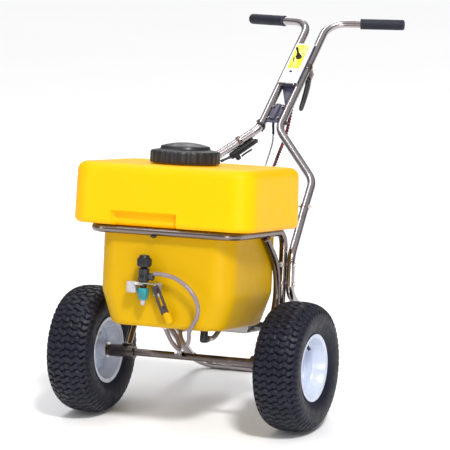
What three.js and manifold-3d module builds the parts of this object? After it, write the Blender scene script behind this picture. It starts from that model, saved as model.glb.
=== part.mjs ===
// A walk-behind liquid de-icer sprayer: a moulded tank on a bent stainless frame with two turf wheels.
// Units are millimetres, +Z is up, -Y is forward and +X is the left hand of the person who pushes it.
// "left" and "right" in the names are as seen from the front, so left is -X.
// The frame is laid out level around the middle of the axle. Parked, it leans back until the
// crossbar of the stand meets the floor, and the whole is then moved to stand at z = 0.

import * as THREE from 'three';
import { mergeVertices } from 'three/addons/utils/BufferGeometryUtils.js';
import Module from 'manifold-3d';

const wasm = await Module();
wasm.setup();

// ---------------------------------------------------------------- driving dimensions
const gap = 0.3;                    // clearance between pieces that touch

const tyreRadius = 166.5;
const tyreHalfWidth = 61;
const beadRadius = 78;
const trackHalf = 291;
const rimFlangeRadius = 86.5;
const rimHalfWidth = 52;
const rimSheet = 3;
const hubRadius = 21;
const hubBoreRadius = 14;
const hubInnerEnd = -46;            // hub ends, outwards from the middle of the wheel
const hubOuterEnd = -5;
const axleRadius = 9.5;
const axleEnd = trackHalf + hubOuterEnd + 5;
const sleeveRadius = 16;
const sleeveInner = 166;
const sleeveOuter = 240;
const sleeveCollar = 18;

const frameTube = 11;               // outer radius of the main frame tubes
const legTube = 10;                 // outer radius of the axle legs
const tubeSides = 10;

const deckHalf = 252;
const deckFront = -256;
const deckBack = 112;
const deckBottom = 346;
const deckTop = 502;
const bodyHalf = 186;
const bodyFootHalf = 152;
const bodyFront = -212;
const bodyBack = 110;
const bodyBottom = 90;
const bodyTaperStart = 195;
const wall = 5;
const neckY = -99;
const neckRadius = 78;
const neckBore = 71;
const neckTop = 524;
const capRadius = 89.5;
const capBottom = 505;
const capSkirtTop = 537;
const capDomeRadius = 63;
const capDomeTop = 558;

const railHalf = 198;
const railFront = -225.5;
const railBack = 102;
const railHeight = deckBottom - frameTube - gap;
const railLegEnd = 150;
const standHalf = 221;
const crossbarHalf = 211;
const crossbarY = 497;
const boltHeights = [201, 250];

const parkLean = THREE.MathUtils.degToRad(9.8);
const crossbarZ = (crossbarY * Math.sin(parkLean) + frameTube - tyreRadius) / Math.cos(parkLean);

const stemHalf = 28;                // the two handle stems run side by side at this distance
const stemFoot = [437.5, 586.5];    // y, z where the stems leave their lower bends
const stemHead = [757.5, 877.5];    // y, z where the stems turn out to the grips
const spliceAt = [196, 237, 388];
const kneeAt = [179, 327, 459];
const gripEnd = [227, 815.5, 881.5];
const gripLength = 117;
const gripRadius = 14.5;

const valveX = -36;
const valveY = -240;
const bracketTop = 206;             // the nozzle hangs from a small plate at this height
const strapFoot = [25, 129];        // x, z of the ends of the slotted strap
const strapHead = [-8, 198];
const strapBack = -231;
const strapLean = Math.atan2(strapFoot[0] - strapHead[0], strapHead[1] - strapFoot[1]);
const hoseRadius = 5.5;
const gunHoseRadius = 4;

// ---------------------------------------------------------------- finishes
const finishes = {
  stainless: { color: 0x8d8480, roughness: 0.32, metalness: 1 },
  brightSteel: { color: 0xb9b7b4, roughness: 0.25, metalness: 1 },
  tank: { color: 0xf5c800, roughness: 0.45, metalness: 0 },
  blackPlastic: { color: 0x1d1e21, roughness: 0.5, metalness: 0 },
  rubber: { color: 0x17171a, roughness: 0.85, metalness: 0 },
  gripFoam: { color: 0x23242c, roughness: 0.8, metalness: 0 },
  whitePaint: { color: 0xe3e8f2, roughness: 0.3, metalness: 0 },
  bronze: { color: 0x8c6a3d, roughness: 0.4, metalness: 1 },
  clearHose: { color: 0xb8b4b6, roughness: 0.2, metalness: 0 },
  greyHose: { color: 0x7d7b80, roughness: 0.4, metalness: 0 },
  teal: { color: 0x1f8f96, roughness: 0.4, metalness: 0 },
  whitePlastic: { color: 0xe9e9ea, roughness: 0.45, metalness: 0 },
  yellowLabel: { color: 0xffe600, roughness: 0.4, metalness: 0 },
  cable: { color: 0x2a2a38, roughness: 0.5, metalness: 0 },
  redCable: { color: 0xa02320, roughness: 0.5, metalness: 0 },
};

// ---------------------------------------------------------------- mesh and solid helpers
const machine = new THREE.Group();
const chassis = new THREE.Group();
chassis.rotation.x = -parkLean;
machine.add(chassis);

function addPart(name, geometry, finish, home = chassis) {
  const mesh = new THREE.Mesh(geometry, new THREE.MeshStandardMaterial(finishes[finish]));
  mesh.name = name;
  home.add(mesh);
}

const point = ([x, y, z]) => new THREE.Vector3(x, y, z);
const sideName = (side) => (side < 0 ? 'left' : 'right');

// Merges shared vertices, drops empty triangles and turns the faces outwards.
function closedMesh(geometry) {
  const bare = geometry.clone();
  bare.deleteAttribute('normal');
  bare.deleteAttribute('uv');
  const merged = mergeVertices(bare, 0.001);
  const index = merged.index.array;
  const faces = [];
  for (let i = 0; i < index.length; i += 3) {
    const [a, b, c] = [index[i], index[i + 1], index[i + 2]];
    if (a !== b && b !== c && c !== a) faces.push([a, b, c]);
  }
  const position = merged.getAttribute('position');
  const corner = (i) => new THREE.Vector3().fromBufferAttribute(position, i);
  let volume = 0;
  for (const [a, b, c] of faces) volume += corner(a).dot(corner(b).cross(corner(c)));
  const outward = volume < 0 ? faces.map(([a, b, c]) => [a, c, b]) : faces;
  merged.setIndex(outward.flat());
  return merged;
}

function toSolid(geometry) {
  const mesh = closedMesh(geometry);
  return new wasm.Manifold(new wasm.Mesh({
    numProp: 3,
    vertProperties: new Float32Array(mesh.getAttribute('position').array),
    triVerts: new Uint32Array(mesh.index.array),
  }));
}

function fromSolid(solid) {
  const { vertProperties, triVerts } = solid.getMesh();
  const geometry = new THREE.BufferGeometry();
  geometry.setAttribute('position', new THREE.BufferAttribute(new Float32Array(vertProperties), 3));
  geometry.setIndex(new THREE.BufferAttribute(new Uint32Array(triVerts), 1));
  return geometry;
}

function joined(first, ...others) {
  return fromSolid(others.reduce((whole, next) => whole.add(toSolid(next)), toSolid(first)));
}

function cut(body, ...tools) {
  return fromSolid(tools.reduce((rest, tool) => rest.subtract(toSolid(tool)), toSolid(body)));
}

function block(low, high) {
  const size = high.map((value, i) => value - low[i]);
  const middle = high.map((value, i) => (value + low[i]) / 2);
  return new THREE.BoxGeometry(...size).translate(...middle);
}

// A round bar between two points.
function bar(start, end, radius, sides = tubeSides) {
  const from = point(start);
  const along = point(end).sub(from);
  const upright = new THREE.CylinderGeometry(radius, radius, along.length(), sides);
  upright.translate(0, along.length() / 2, 0);
  const turn = new THREE.Quaternion().setFromUnitVectors(new THREE.Vector3(0, 1, 0), along.normalize());
  return upright.applyQuaternion(turn).translate(from.x, from.y, from.z);
}

// Turns a profile of [radius, height] pairs about Z.
function turned(profile, sides = 24) {
  const outline = profile.map(([radius, height]) => new THREE.Vector2(radius, height));
  return closedMesh(new THREE.LatheGeometry(outline, sides).rotateX(Math.PI / 2));
}

// The same, about the X axis, with heights running towards +X on side 1 and -X on side -1.
function turnedAlongX(profile, side, sides = 24) {
  return turned(profile, sides).rotateY(side * Math.PI / 2);
}

// A path of straight runs and round bends; each station is one section of a tube.
class BentRoute extends THREE.Curve {
  constructor(stations) {
    super();
    this.stations = stations;
  }

  getPoint(t, target = new THREE.Vector3()) {
    const last = this.stations.length - 1;
    const place = Math.min(Math.max(t, 0), 1) * last;
    const i = Math.min(Math.floor(place), last - 1);
    return target.copy(this.stations[i]).lerp(this.stations[i + 1], place - i);
  }

  getUtoTmapping(u) {
    return u;
  }
}

function bendStations(before, corner, after, bendRadius, steps) {
  const back = before.clone().sub(corner).normalize();
  const ahead = after.clone().sub(corner).normalize();
  const half = back.angleTo(ahead) / 2;
  const inward = back.clone().add(ahead).normalize();
  const centre = corner.clone().addScaledVector(inward, bendRadius / Math.sin(half));
  const arm = corner.clone().addScaledVector(back, bendRadius / Math.tan(half)).sub(centre);
  const axis = ahead.clone().cross(back).normalize();
  const stations = [];
  for (let step = 0; step <= steps; step += 1) {
    const angle = (Math.PI - 2 * half) * step / steps;
    stations.push(arm.clone().applyAxisAngle(axis, angle).add(centre));
  }
  return stations;
}

function roundSection(radius, sides) {
  const corners = [];
  for (let i = 0; i < sides; i += 1) {
    const angle = 2 * Math.PI * i / sides;
    corners.push(new THREE.Vector2(radius * Math.cos(angle), radius * Math.sin(angle)));
  }
  return new THREE.Shape(corners);
}

function sweep(stations, radius, sides) {
  const settings = { steps: stations.length - 1, extrudePath: new BentRoute(stations), bevelEnabled: false };
  return closedMesh(new THREE.ExtrudeGeometry(roundSection(radius, sides), settings));
}

// A bent tube: corners are [x, y, z], with one bend radius for each inner corner.
function bentTube(corners, bendRadii, radius, sides = tubeSides, steps = 4) {
  const points = corners.map(point);
  const stations = [points[0]];
  for (let i = 1; i < points.length - 1; i += 1) {
    stations.push(...bendStations(points[i - 1], points[i], points[i + 1], bendRadii[i - 1], steps));
  }
  stations.push(points[points.length - 1]);
  return sweep(stations, radius, sides);
}

// A hose or cable on one smooth curve through its points.
function hose(points, radius, steps, sides = 8) {
  const curve = new THREE.CatmullRomCurve3(points.map(point), false, 'centripetal');
  return sweep(curve.getSpacedPoints(steps), radius, sides);
}

// A rectangle with round corners, as a ring of points at one height.
function plateRing({ halfX, front, back, corner }, inset, height, perCorner = 4) {
  const radius = Math.max(corner - inset, 4);
  const reachX = halfX - inset - radius;
  const nearY = front + inset + radius;
  const farY = back - inset - radius;
  const centres = [[reachX, farY], [-reachX, farY], [-reachX, nearY], [reachX, nearY]];
  const ring = [];
  centres.forEach(([x, y], quarter) => {
    for (let i = 0; i <= perCorner; i += 1) {
      const angle = (quarter + i / perCorner) * Math.PI / 2;
      ring.push(new THREE.Vector3(x + radius * Math.cos(angle), y + radius * Math.sin(angle), height));
    }
  });
  return ring;
}

// Joins rings of equal length into one closed skin with flat ends.
function loft(rings) {
  const count = rings[0].length;
  const vertices = rings.flat();
  const faces = [];
  for (let level = 0; level < rings.length - 1; level += 1) {
    for (let i = 0; i < count; i += 1) {
      const a = level * count + i;
      const b = level * count + (i + 1) % count;
      faces.push(a, b, b + count, a, b + count, a + count);
    }
  }
  for (const [level, flip] of [[0, true], [rings.length - 1, false]]) {
    const first = level * count;
    for (let i = 1; i < count - 1; i += 1) {
      faces.push(first, first + i + (flip ? 1 : 0), first + i + (flip ? 0 : 1));
    }
  }
  const geometry = new THREE.BufferGeometry().setFromPoints(vertices);
  geometry.setIndex(faces);
  return geometry;
}

// Levels of a block whose lower and upper edges are rounded.
function roundedLevels(bottom, top, lowFillet, highFillet, steps = 3) {
  const levels = [];
  for (let i = 0; i <= steps; i += 1) {
    const angle = i / steps * Math.PI / 2;
    levels.push([bottom + lowFillet * (1 - Math.cos(angle)), lowFillet * (1 - Math.sin(angle))]);
  }
  for (let i = 0; i <= steps; i += 1) {
    const angle = i / steps * Math.PI / 2;
    levels.push([top - highFillet * (1 - Math.sin(angle)), highFillet * (1 - Math.cos(angle))]);
  }
  return levels;
}

// Stands a flat shape drawn in x and y upright in the leaning plane of the nozzle strap.
function leaning(geometry, x, y, z) {
  return geometry.rotateX(Math.PI / 2).rotateY(-strapLean).translate(x, y, z);
}

// ---------------------------------------------------------------- wheels and axle
function tyreProfile() {
  const crownDrop = 2.5;
  const half = [
    [beadRadius, 41], [rimFlangeRadius + 1.5, 46], [104, 57], [130, tyreHalfWidth],
    [150, 57], [162, 45], [tyreRadius - crownDrop / 2, 24], [tyreRadius, 0],
  ];
  const mirror = half.slice(0, -1).reverse().map(([radius, x]) => [radius, -x]);
  return [...half, ...mirror, half[0]];
}

function rimProfile() {
  const wellRadius = 62;
  const seat = beadRadius - gap;
  const outside = [
    [rimFlangeRadius, rimHalfWidth], [rimFlangeRadius, rimHalfWidth - 3], [seat, 43],
    [wellRadius, 19], [wellRadius, -19], [seat, -43],
    [rimFlangeRadius, 3 - rimHalfWidth], [rimFlangeRadius, -rimHalfWidth],
  ];
  const inside = [
    [seat - rimSheet, -44], [wellRadius - rimSheet, -20], [wellRadius - rimSheet, -8],
    [hubRadius, -14], [hubRadius, hubInnerEnd], [hubBoreRadius, hubInnerEnd],
    [hubBoreRadius, hubOuterEnd], [hubRadius, hubOuterEnd], [hubRadius, -9],
    [wellRadius - rimSheet, -3], [wellRadius - rimSheet, 20], [seat - rimSheet, 44],
  ];
  return [...outside, ...inside, outside[0]];
}

function buildWheel(side) {
  const name = sideName(side);
  const wheelSides = 32;
  const add = (part, geometry, finish) =>
    addPart(`${part}_${name}`, geometry.translate(side * trackHalf, 0, 0), finish, machine);
  add('tyre', turnedAlongX(tyreProfile(), side, wheelSides), 'rubber');
  // The valve stem stands square to the sloping wall of the well, at [outwards, up].
  const stemFootAt = [25, 66];
  const stemWay = [0.547, -0.837];
  const alongStem = (distance) =>
    [side * (stemFootAt[0] + distance * stemWay[0]), 0, stemFootAt[1] + distance * stemWay[1]];
  const rim = turnedAlongX(rimProfile(), side, wheelSides);
  add('rim', cut(rim, bar(alongStem(-10), alongStem(10), 4.4, 8)), 'whitePaint');
  add('valve_stem', bar(alongStem(-5), alongStem(24), 4, 8), 'rubber');
  const bushOuter = hubBoreRadius - gap;
  const bushInner = axleRadius + gap;
  const bush = [
    [bushInner, hubInnerEnd - 2], [bushInner, hubOuterEnd + 2],
    [hubRadius, hubOuterEnd + 2], [hubRadius, hubOuterEnd + gap],
    [bushOuter, hubOuterEnd + gap], [bushOuter, hubInnerEnd - gap],
    [hubRadius, hubInnerEnd - gap], [hubRadius, hubInnerEnd - 2],
    [bushInner, hubInnerEnd - 2],
  ];
  add('hub_bush', turnedAlongX(bush, side, 16), 'bronze');
  const inner = hubOuterEnd + 2 + gap;
  const overEnd = axleEnd - trackHalf + gap;
  const cap = [
    [axleRadius + gap, inner], [hubRadius + 4, inner], [hubRadius + 4, inner + 2],
    [hubRadius - 4, inner + 6], [0, inner + 8], [0, overEnd], [axleRadius + gap, overEnd],
    [axleRadius + gap, inner],
  ];
  add('axle_cap', turnedAlongX(cap, side, 20), 'whitePaint');
}

function buildAxle() {
  addPart('axle', bar([-axleEnd, 0, 0], [axleEnd, 0, 0], axleRadius, 16), 'stainless');
  for (const side of [-1, 1]) {
    const sleeve = [
      [axleRadius + gap, sleeveInner], [sleeveRadius + 1.5, sleeveInner],
      [sleeveRadius + 1.5, sleeveInner + sleeveCollar], [sleeveRadius, sleeveInner + sleeveCollar],
      [sleeveRadius, sleeveOuter], [axleRadius + gap, sleeveOuter], [axleRadius + gap, sleeveInner],
    ];
    addPart(`bearing_sleeve_${sideName(side)}`, turnedAlongX(sleeve, side, 16), 'stainless');
  }
}

// ---------------------------------------------------------------- frame
function buildRails() {
  const corners = [
    [-railHalf, railBack, railLegEnd], [-railHalf, railBack, railHeight],
    [-railHalf, railFront, railHeight], [railHalf, railFront, railHeight],
    [railHalf, railBack, railHeight], [railHalf, railBack, railLegEnd],
  ];
  const rails = bentTube(corners, [40, 40, 40, 40], frameTube);
  addPart('rail_frame', cut(rails, ...boltHoles()), 'stainless');
}

function boltHoles() {
  const holes = [];
  for (const side of [-1, 1]) {
    for (const height of boltHeights) {
      const start = [side * (railHalf - 20), railBack, height];
      const end = [side * (standHalf + 20), railBack, height];
      holes.push(bar(start, end, 4.3, 8));
    }
  }
  return holes;
}

// Two cross bolts on each side, held together by the washer strip under their heads.
function buildFrameBolts() {
  const [low, high] = boltHeights;
  for (const side of [-1, 1]) {
    const inner = side * (railHalf - frameTube - gap);
    const outer = side * (standHalf + frameTube + 4);
    const strip = block(
      [Math.min(inner, inner - side * 1.5), railBack - 6, low - 8],
      [Math.max(inner, inner - side * 1.5), railBack + 6, high + 8],
    );
    const bolts = boltHeights.flatMap((height) => [
      bar([inner - side * 5, railBack, height], [outer, railBack, height], 4, 8),
      bar([inner - side * 4.5, railBack, height], [inner - side, railBack, height], 6, 6),
    ]);
    addPart(`frame_bolts_${sideName(side)}`, joined(strip, ...bolts), 'brightSteel');
  }
}

function buildStand() {
  const rightHalf = [
    spliceAt, [standHalf, railBack, 272], [standHalf, railBack, 177],
    [crossbarHalf, crossbarY, crossbarZ],
  ];
  const leftHalf = rightHalf.map(([x, y, z]) => [-x, y, z]).reverse();
  const stand = bentTube([...rightHalf, ...leftHalf], [45, 40, 60, 60, 40, 45], frameTube);
  const pastSplice = 0.15;
  const [kneeX, kneeY, kneeZ] = kneeAt;
  const trims = [-1, 1].map((side) => {
    const end = point([side * spliceAt[0], spliceAt[1], spliceAt[2]]);
    const ahead = point([side * kneeX, kneeY, kneeZ]).sub(end).normalize();
    const from = end.clone().addScaledVector(ahead, -pastSplice);
    const to = end.clone().addScaledVector(ahead, 30);
    return bar(from.toArray(), to.toArray(), frameTube * 2, 16);
  });
  addPart('stand_frame', cut(stand, ...boltHoles(), ...trims), 'stainless');
}

// Curved legs from the rails down to the axle sleeves, cut to saddle on both.
function buildAxleLegs() {
  for (const side of [-1, 1]) {
    const corners = [
      [side * railHalf, -22, railHeight - 8], [side * 195, 127, 200], [side * 189, 2, 14],
    ];
    const leg = bentTube(corners, [140], legTube, tubeSides, 8);
    const collarEnd = sleeveInner + sleeveCollar + gap;
    const sleeveTool = bar([side * 150, 0, 0], [side * 250, 0, 0], sleeveRadius + gap, 16);
    const collarTool = bar([side * 150, 0, 0], [side * collarEnd, 0, 0], sleeveRadius + 1.5 + gap, 16);
    const railTool = bar([side * railHalf, -80, railHeight], [side * railHalf, 110, railHeight],
      frameTube + gap, 16);
    addPart(`axle_leg_${sideName(side)}`, cut(leg, sleeveTool, collarTool, railTool), 'stainless');
  }
}

function buildHandles() {
  for (const side of [-1, 1]) {
    const name = sideName(side);
    const mirror = ([x, y, z]) => [side * x, y, z];
    const corners = [
      mirror(spliceAt), mirror(kneeAt), [side * stemHalf, ...stemFoot],
      [side * stemHalf, ...stemHead], mirror(gripEnd),
    ];
    const start = point(corners[0]);
    start.addScaledVector(point(corners[1]).sub(start).normalize(), 0.15);
    corners[0] = start.toArray();
    addPart(`handle_tube_${name}`, bentTube(corners, [85, 60, 62], frameTube, tubeSides, 5), 'stainless');
    const end = point(mirror(gripEnd));
    const inward = point([side * stemHalf, ...stemHead]).sub(end).normalize();
    const grip = [
      [frameTube + gap, 0], [gripRadius, 0], [gripRadius, gripLength],
      [gripRadius - 3, gripLength + 5], [0, gripLength + 5], [0, gripLength + gap],
      [frameTube + gap, gripLength + gap], [frameTube + gap, 0],
    ];
    const turn = new THREE.Quaternion().setFromUnitVectors(
      new THREE.Vector3(0, 0, 1), inward.clone().negate());
    const base = end.clone().addScaledVector(inward, gripLength);
    const sleeve = turned(grip, 20).applyQuaternion(turn).translate(base.x, base.y, base.z);
    addPart(`grip_${name}`, sleeve, 'gripFoam');
  }
}

// ---------------------------------------------------------------- tank
const deckPlan = { halfX: deckHalf, front: deckFront, back: deckBack, corner: 60 };
const bodyPlan = { halfX: bodyHalf, front: bodyFront, back: bodyBack, corner: 58 };

function deckBlock(offset) {
  const levels = roundedLevels(deckBottom + offset, deckTop - offset, 16, 28);
  const draft = 4;
  const lean = (height) => draft * (height - deckBottom) / (deckTop - deckBottom);
  return loft(levels.map(([height, inset]) =>
    plateRing(deckPlan, offset + inset + lean(height), height)));
}

// The lower body: its sides draw in near the bottom, and it runs up into the deck.
function bodyBlock(offset) {
  const bottom = bodyBottom + offset;
  const levels = roundedLevels(bottom, deckBottom + 60, 12, 1);
  levels.splice(4, 0, [bodyTaperStart, 0]);
  return loft(levels.map(([height, inset]) => {
    const taper = Math.max(0, (bodyTaperStart - height) / (bodyTaperStart - bodyBottom));
    const plan = { ...bodyPlan, halfX: bodyHalf - taper * (bodyHalf - bodyFootHalf) };
    return plateRing(plan, offset + inset, height);
  }));
}

function buildTank() {
  const recess = block([-116, deckFront - 5, deckBottom - 5], [43, deckFront + 16, deckBottom + 33]);
  const recessInside = block([-121, deckFront - 5, deckBottom - 5],
    [48, deckFront + 16 + wall, deckBottom + 33 + wall]);
  const neck = bar([0, neckY, deckTop - 20], [0, neckY, neckTop], neckRadius, 32);
  const bore = bar([0, neckY, deckTop - 30], [0, neckY, neckTop + 10], neckBore, 32);
  // The lug that carries the nozzle strap, moulded onto the front of the body.
  const lug = leaning(new THREE.BoxGeometry(26, 52, 24).translate(2, 0, 0),
    strapFoot[0] + 4, strapBack + gap + 12, strapFoot[1] - 6);
  const lugFoot = block([10, bodyFront - 25, 60], [80, bodyFront + 1, bodyBottom + 6]);
  const outer = toSolid(deckBlock(0)).subtract(toSolid(recess)).add(toSolid(bodyBlock(0)));
  const inner = toSolid(deckBlock(wall)).subtract(toSolid(recessInside)).add(toSolid(bodyBlock(wall)));
  const whole = outer.add(toSolid(neck)).add(toSolid(lug).subtract(toSolid(lugFoot)));
  addPart('tank_shell', fromSolid(whole.subtract(inner).subtract(toSolid(bore))), 'tank');
}

function buildCap() {
  const capWall = 4;
  const inner = neckRadius + 1.5;
  const lid = neckTop + 6;
  const cap = [
    [inner, capBottom], [capRadius, capBottom], [capRadius, capSkirtTop - 4],
    [capRadius - 4, capSkirtTop], [capDomeRadius + 4, capSkirtTop], [capDomeRadius, capSkirtTop + 4],
    [capDomeRadius - 6, capDomeTop - 6], [capDomeRadius - 14, capDomeTop], [0, capDomeTop + 1],
    [0, capDomeTop - capWall], [capDomeRadius - 16, capDomeTop - capWall],
    [capDomeRadius - 12, capSkirtTop - 2], [capDomeRadius - 12, lid], [inner, lid],
    [inner, capBottom],
  ];
  addPart('tank_cap', turned(cap, 32).translate(0, neckY, 0), 'blackPlastic');
  const gasket = [
    [neckBore - 4, neckTop + gap], [neckRadius, neckTop + gap], [neckRadius, lid - gap],
    [neckBore - 4, lid - gap], [neckBore - 4, neckTop + gap],
  ];
  addPart('cap_gasket', turned(gasket, 32).translate(0, neckY, 0), 'rubber');
}

// ---------------------------------------------------------------- drain, pump and battery
const plate = 3;
const shelfFront = railBack + frameTube + gap;
const shelfFloor = 61;
const shelfTop = shelfFloor + plate;
const pumpTop = 144;
const hosePortHeight = 78;
const pumpFront = shelfFront + plate + 7.7;
const hosePort = pumpFront - 2;      // the hoses end here, on the three spigots of the pump
const drainX = 43;
const drainY = -30;
const bypassX = -12;
const feedX = 13;
const hosePorts = [drainX, feedX, bypassX];

function buildDrain() {
  const floor = bodyBottom - gap;
  const elbowZ = 51;
  const elbow = joined(
    bar([drainX, drainY, elbowZ - 8], [drainX, drainY, floor - 6], 10, 16),
    bar([drainX, drainY, floor - 9], [drainX, drainY, floor], 17, 6),
    bar([drainX, drainY, elbowZ], [drainX, drainY + 22, elbowZ], 8.5, 12),
  );
  addPart('drain_elbow', elbow, 'blackPlastic');
  const route = [
    [drainX, drainY + 22 + gap, elbowZ], [drainX, 6, elbowZ], [drainX, 24, 51], [drainX, 42, 56],
    [drainX, 60, 66], [drainX, 76, 75], [drainX, 92, hosePortHeight],
    [drainX, hosePort - 12, hosePortHeight], [drainX, hosePort, hosePortHeight],
  ];
  addPart('drain_hose', hose(route, 6.5, 14), 'greyHose');
}

function buildShelf() {
  const half = 157;
  const far = shelfFront + 168;
  const upright = block([-half, shelfFront, shelfFloor], [half, shelfFront + plate, 235]);
  const floor = block([-half, shelfFront, shelfFloor], [112, far, shelfTop]);
  const lip = block([-half, far - plate, shelfFloor], [112, far, shelfTop + 14]);
  const holes = hosePorts.map((x) =>
    bar([x, shelfFront - 10, hosePortHeight], [x, shelfFront + 8, hosePortHeight], 8, 12));
  addPart('equipment_shelf', cut(joined(upright, floor, lip), ...holes), 'stainless');
}

const boxLow = [-152, shelfFront + 9, shelfTop + gap];
const boxHigh = [-36, shelfFront + 117, 222];

function buildBattery() {
  const hollowLow = boxLow.map((value) => value + plate);
  const hollow = block(hollowLow, [boxHigh[0] - plate, boxHigh[1] - plate, boxHigh[2] + 5]);
  addPart('battery_box', cut(block(boxLow, boxHigh), hollow), 'blackPlastic');
  const cellLow = [boxLow[0] + 5, boxLow[1] + 6, boxLow[2] + plate + gap];
  const cellHigh = [boxHigh[0] - 5, boxHigh[1] - 6, boxLow[2] + plate + 96];
  addPart('battery', block(cellLow, cellHigh), 'blackPlastic');
  const lidLow = [boxLow[0] - 2, boxLow[1] - 2, boxHigh[2] + gap];
  const lidHigh = [boxHigh[0] + 2, boxHigh[1] + 2, boxHigh[2] + 10];
  const knuckle = bar([boxLow[0] + 20, boxHigh[1] + 5, boxHigh[2] + 5],
    [boxHigh[0] - 20, boxHigh[1] + 5, boxHigh[2] + 5], 4, 10);
  addPart('battery_lid', joined(block(lidLow, lidHigh), knuckle), 'blackPlastic');
}

function buildPump() {
  const [axisX, axisZ] = [42, 108];
  const headBack = pumpFront + 50;
  const head = joined(
    block([-25, pumpFront + 3, shelfTop + gap], [98, headBack, pumpTop]),
    ...hosePorts.map((x) =>
      bar([x, hosePort + gap, hosePortHeight], [x, pumpFront + 5, hosePortHeight], 9, 10)),
  );
  addPart('pump_head', head, 'blackPlastic');
  const motor = joined(
    bar([axisX, headBack + gap, axisZ], [axisX, headBack + 86, axisZ], 33, 20),
    block([axisX - 20, headBack + 24, shelfTop + gap], [axisX + 20, headBack + 60, axisZ]),
  );
  addPart('pump_motor', motor, 'blackPlastic');
}

// ---------------------------------------------------------------- nozzle at the front
function slottedStrap(length, width) {
  const half = width / 2;
  const slotHalf = 3.4;
  const [slotLow, slotHigh] = [9, length - 7];
  const outline = new THREE.Shape();
  outline.moveTo(-half, 0);
  outline.lineTo(half, 0);
  outline.lineTo(half, length);
  outline.lineTo(-half, length);
  outline.closePath();
  const slot = new THREE.Path();
  slot.moveTo(-slotHalf, slotLow);
  slot.lineTo(slotHalf, slotLow);
  slot.lineTo(slotHalf, slotHigh);
  slot.lineTo(-slotHalf, slotHigh);
  slot.closePath();
  outline.holes.push(slot);
  return new THREE.ExtrudeGeometry(outline, { depth: plate, bevelEnabled: false });
}

// The strap bolt joins the strap to the nozzle bracket, this far up the strap.
function strapBoltAt() {
  const boltUp = 63;
  return [strapFoot[0] - Math.sin(strapLean) * boltUp, strapFoot[1] + Math.cos(strapLean) * boltUp];
}

function buildNozzleStrap() {
  const length = Math.hypot(strapFoot[0] - strapHead[0], strapHead[1] - strapFoot[1]);
  const strap = leaning(slottedStrap(length, 20), strapFoot[0], strapBack, strapFoot[1]);
  const [boltX, boltZ] = strapBoltAt();
  addPart('nozzle_strap', strap, 'stainless');
  const bolt = [
    [0, 0], [3.1, 0], [3.1, 13], [6.5, 13], [6.5, 17.5], [0, 17.5],
  ];
  const boltMesh = turned(bolt, 12).rotateX(Math.PI / 2);
  boltMesh.translate(boltX, strapBack + 13 - plate - gap, boltZ);
  addPart('strap_bolt', boltMesh, 'brightSteel');
  const tabHole = bar([boltX, strapBack - 5, boltZ], [boltX, strapBack + 12, boltZ], 3.4, 12);
  const bracket = joined(
    block([-54, valveY - 16, bracketTop - plate], [2, strapBack + plate + gap, bracketTop]),
    block([boltX - 10, strapBack + gap, boltZ - 14], [boltX + 12, strapBack + gap + plate, bracketTop]),
  );
  const neckHole = bar([valveX, valveY, bracketTop - 10], [valveX, valveY, bracketTop + 5], 8.4, 16);
  addPart('nozzle_bracket', cut(bracket, neckHole, tabHole), 'stainless');
  const endBlock = block([-79, valveY - 10, bracketTop - 28], [-54 - gap, valveY + 12, bracketTop]);
  addPart('bracket_end_block', endBlock, 'whitePlastic');
}

// A flat bar that hooks over the axle and carries the bottom of the tank.
function buildTankRest() {
  const [left, right] = [-42, -22];
  const restY = -21;
  const top = bodyBottom - gap;
  const rest = joined(
    block([left, restY - plate, 0], [right, restY, top]),
    block([left, restY - plate, top - plate], [right, 14, top]),
    block([left, restY - plate, -14], [right, 14, 12]),
  );
  const axleTool = bar([left - 5, 0, 0], [right + 5, 0, 0], axleRadius + gap, 16);
  const mouth = block([left - 5, -4, -20], [right + 5, 4, 0]);
  addPart('tank_rest', cut(rest, axleTool, mouth), 'stainless');
}

function buildNozzle() {
  const body = [
    [0, -33], [8, -33], [8, 1.4], [14, 2.4], [14, 34], [9, 36], [7.5, 38], [7.5, 56], [0, 56],
  ];
  const whole = joined(
    turned(body, 20),
    block([0, -9, 2.6], [27, 9, 27]),
  );
  const hang = (geometry) => geometry.translate(valveX, valveY, bracketTop);
  addPart('valve_body', hang(whole), 'blackPlastic');
  const knob = [
    [7.5 + gap, 39], [16, 39], [19, 43], [19, 60], [14, 64], [12, 68], [0, 69], [0, 56 + gap],
    [7.5 + gap, 56 + gap], [7.5 + gap, 39],
  ];
  const flutes = [];
  const fluteCount = 8;
  for (let i = 0; i < fluteCount; i += 1) {
    const angle = 2 * Math.PI * i / fluteCount;
    const x = 20.5 * Math.cos(angle);
    const y = 20.5 * Math.sin(angle);
    flutes.push(bar([x, y, 30], [x, y, 80], 3.2, 8));
  }
  addPart('valve_knob', hang(closedMesh(cut(turned(knob, 24), ...flutes))), 'blackPlastic');
  const cap = [
    [8 + gap, -36], [8 + gap, -15], [13, -15], [14.5, -18], [14.5, -29], [10.5, -44], [6.5, -45],
    [6.5, -36], [8 + gap, -36],
  ];
  addPart('nozzle_cap', hang(turned(cap, 20)), 'teal');
  const tip = [
    [0, -36.5], [6.2, -36.5], [6.2, -54], [4.5, -58], [0, -58],
  ];
  addPart('nozzle_tip', hang(turned(tip, 16)), 'whitePlastic');
}

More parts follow.
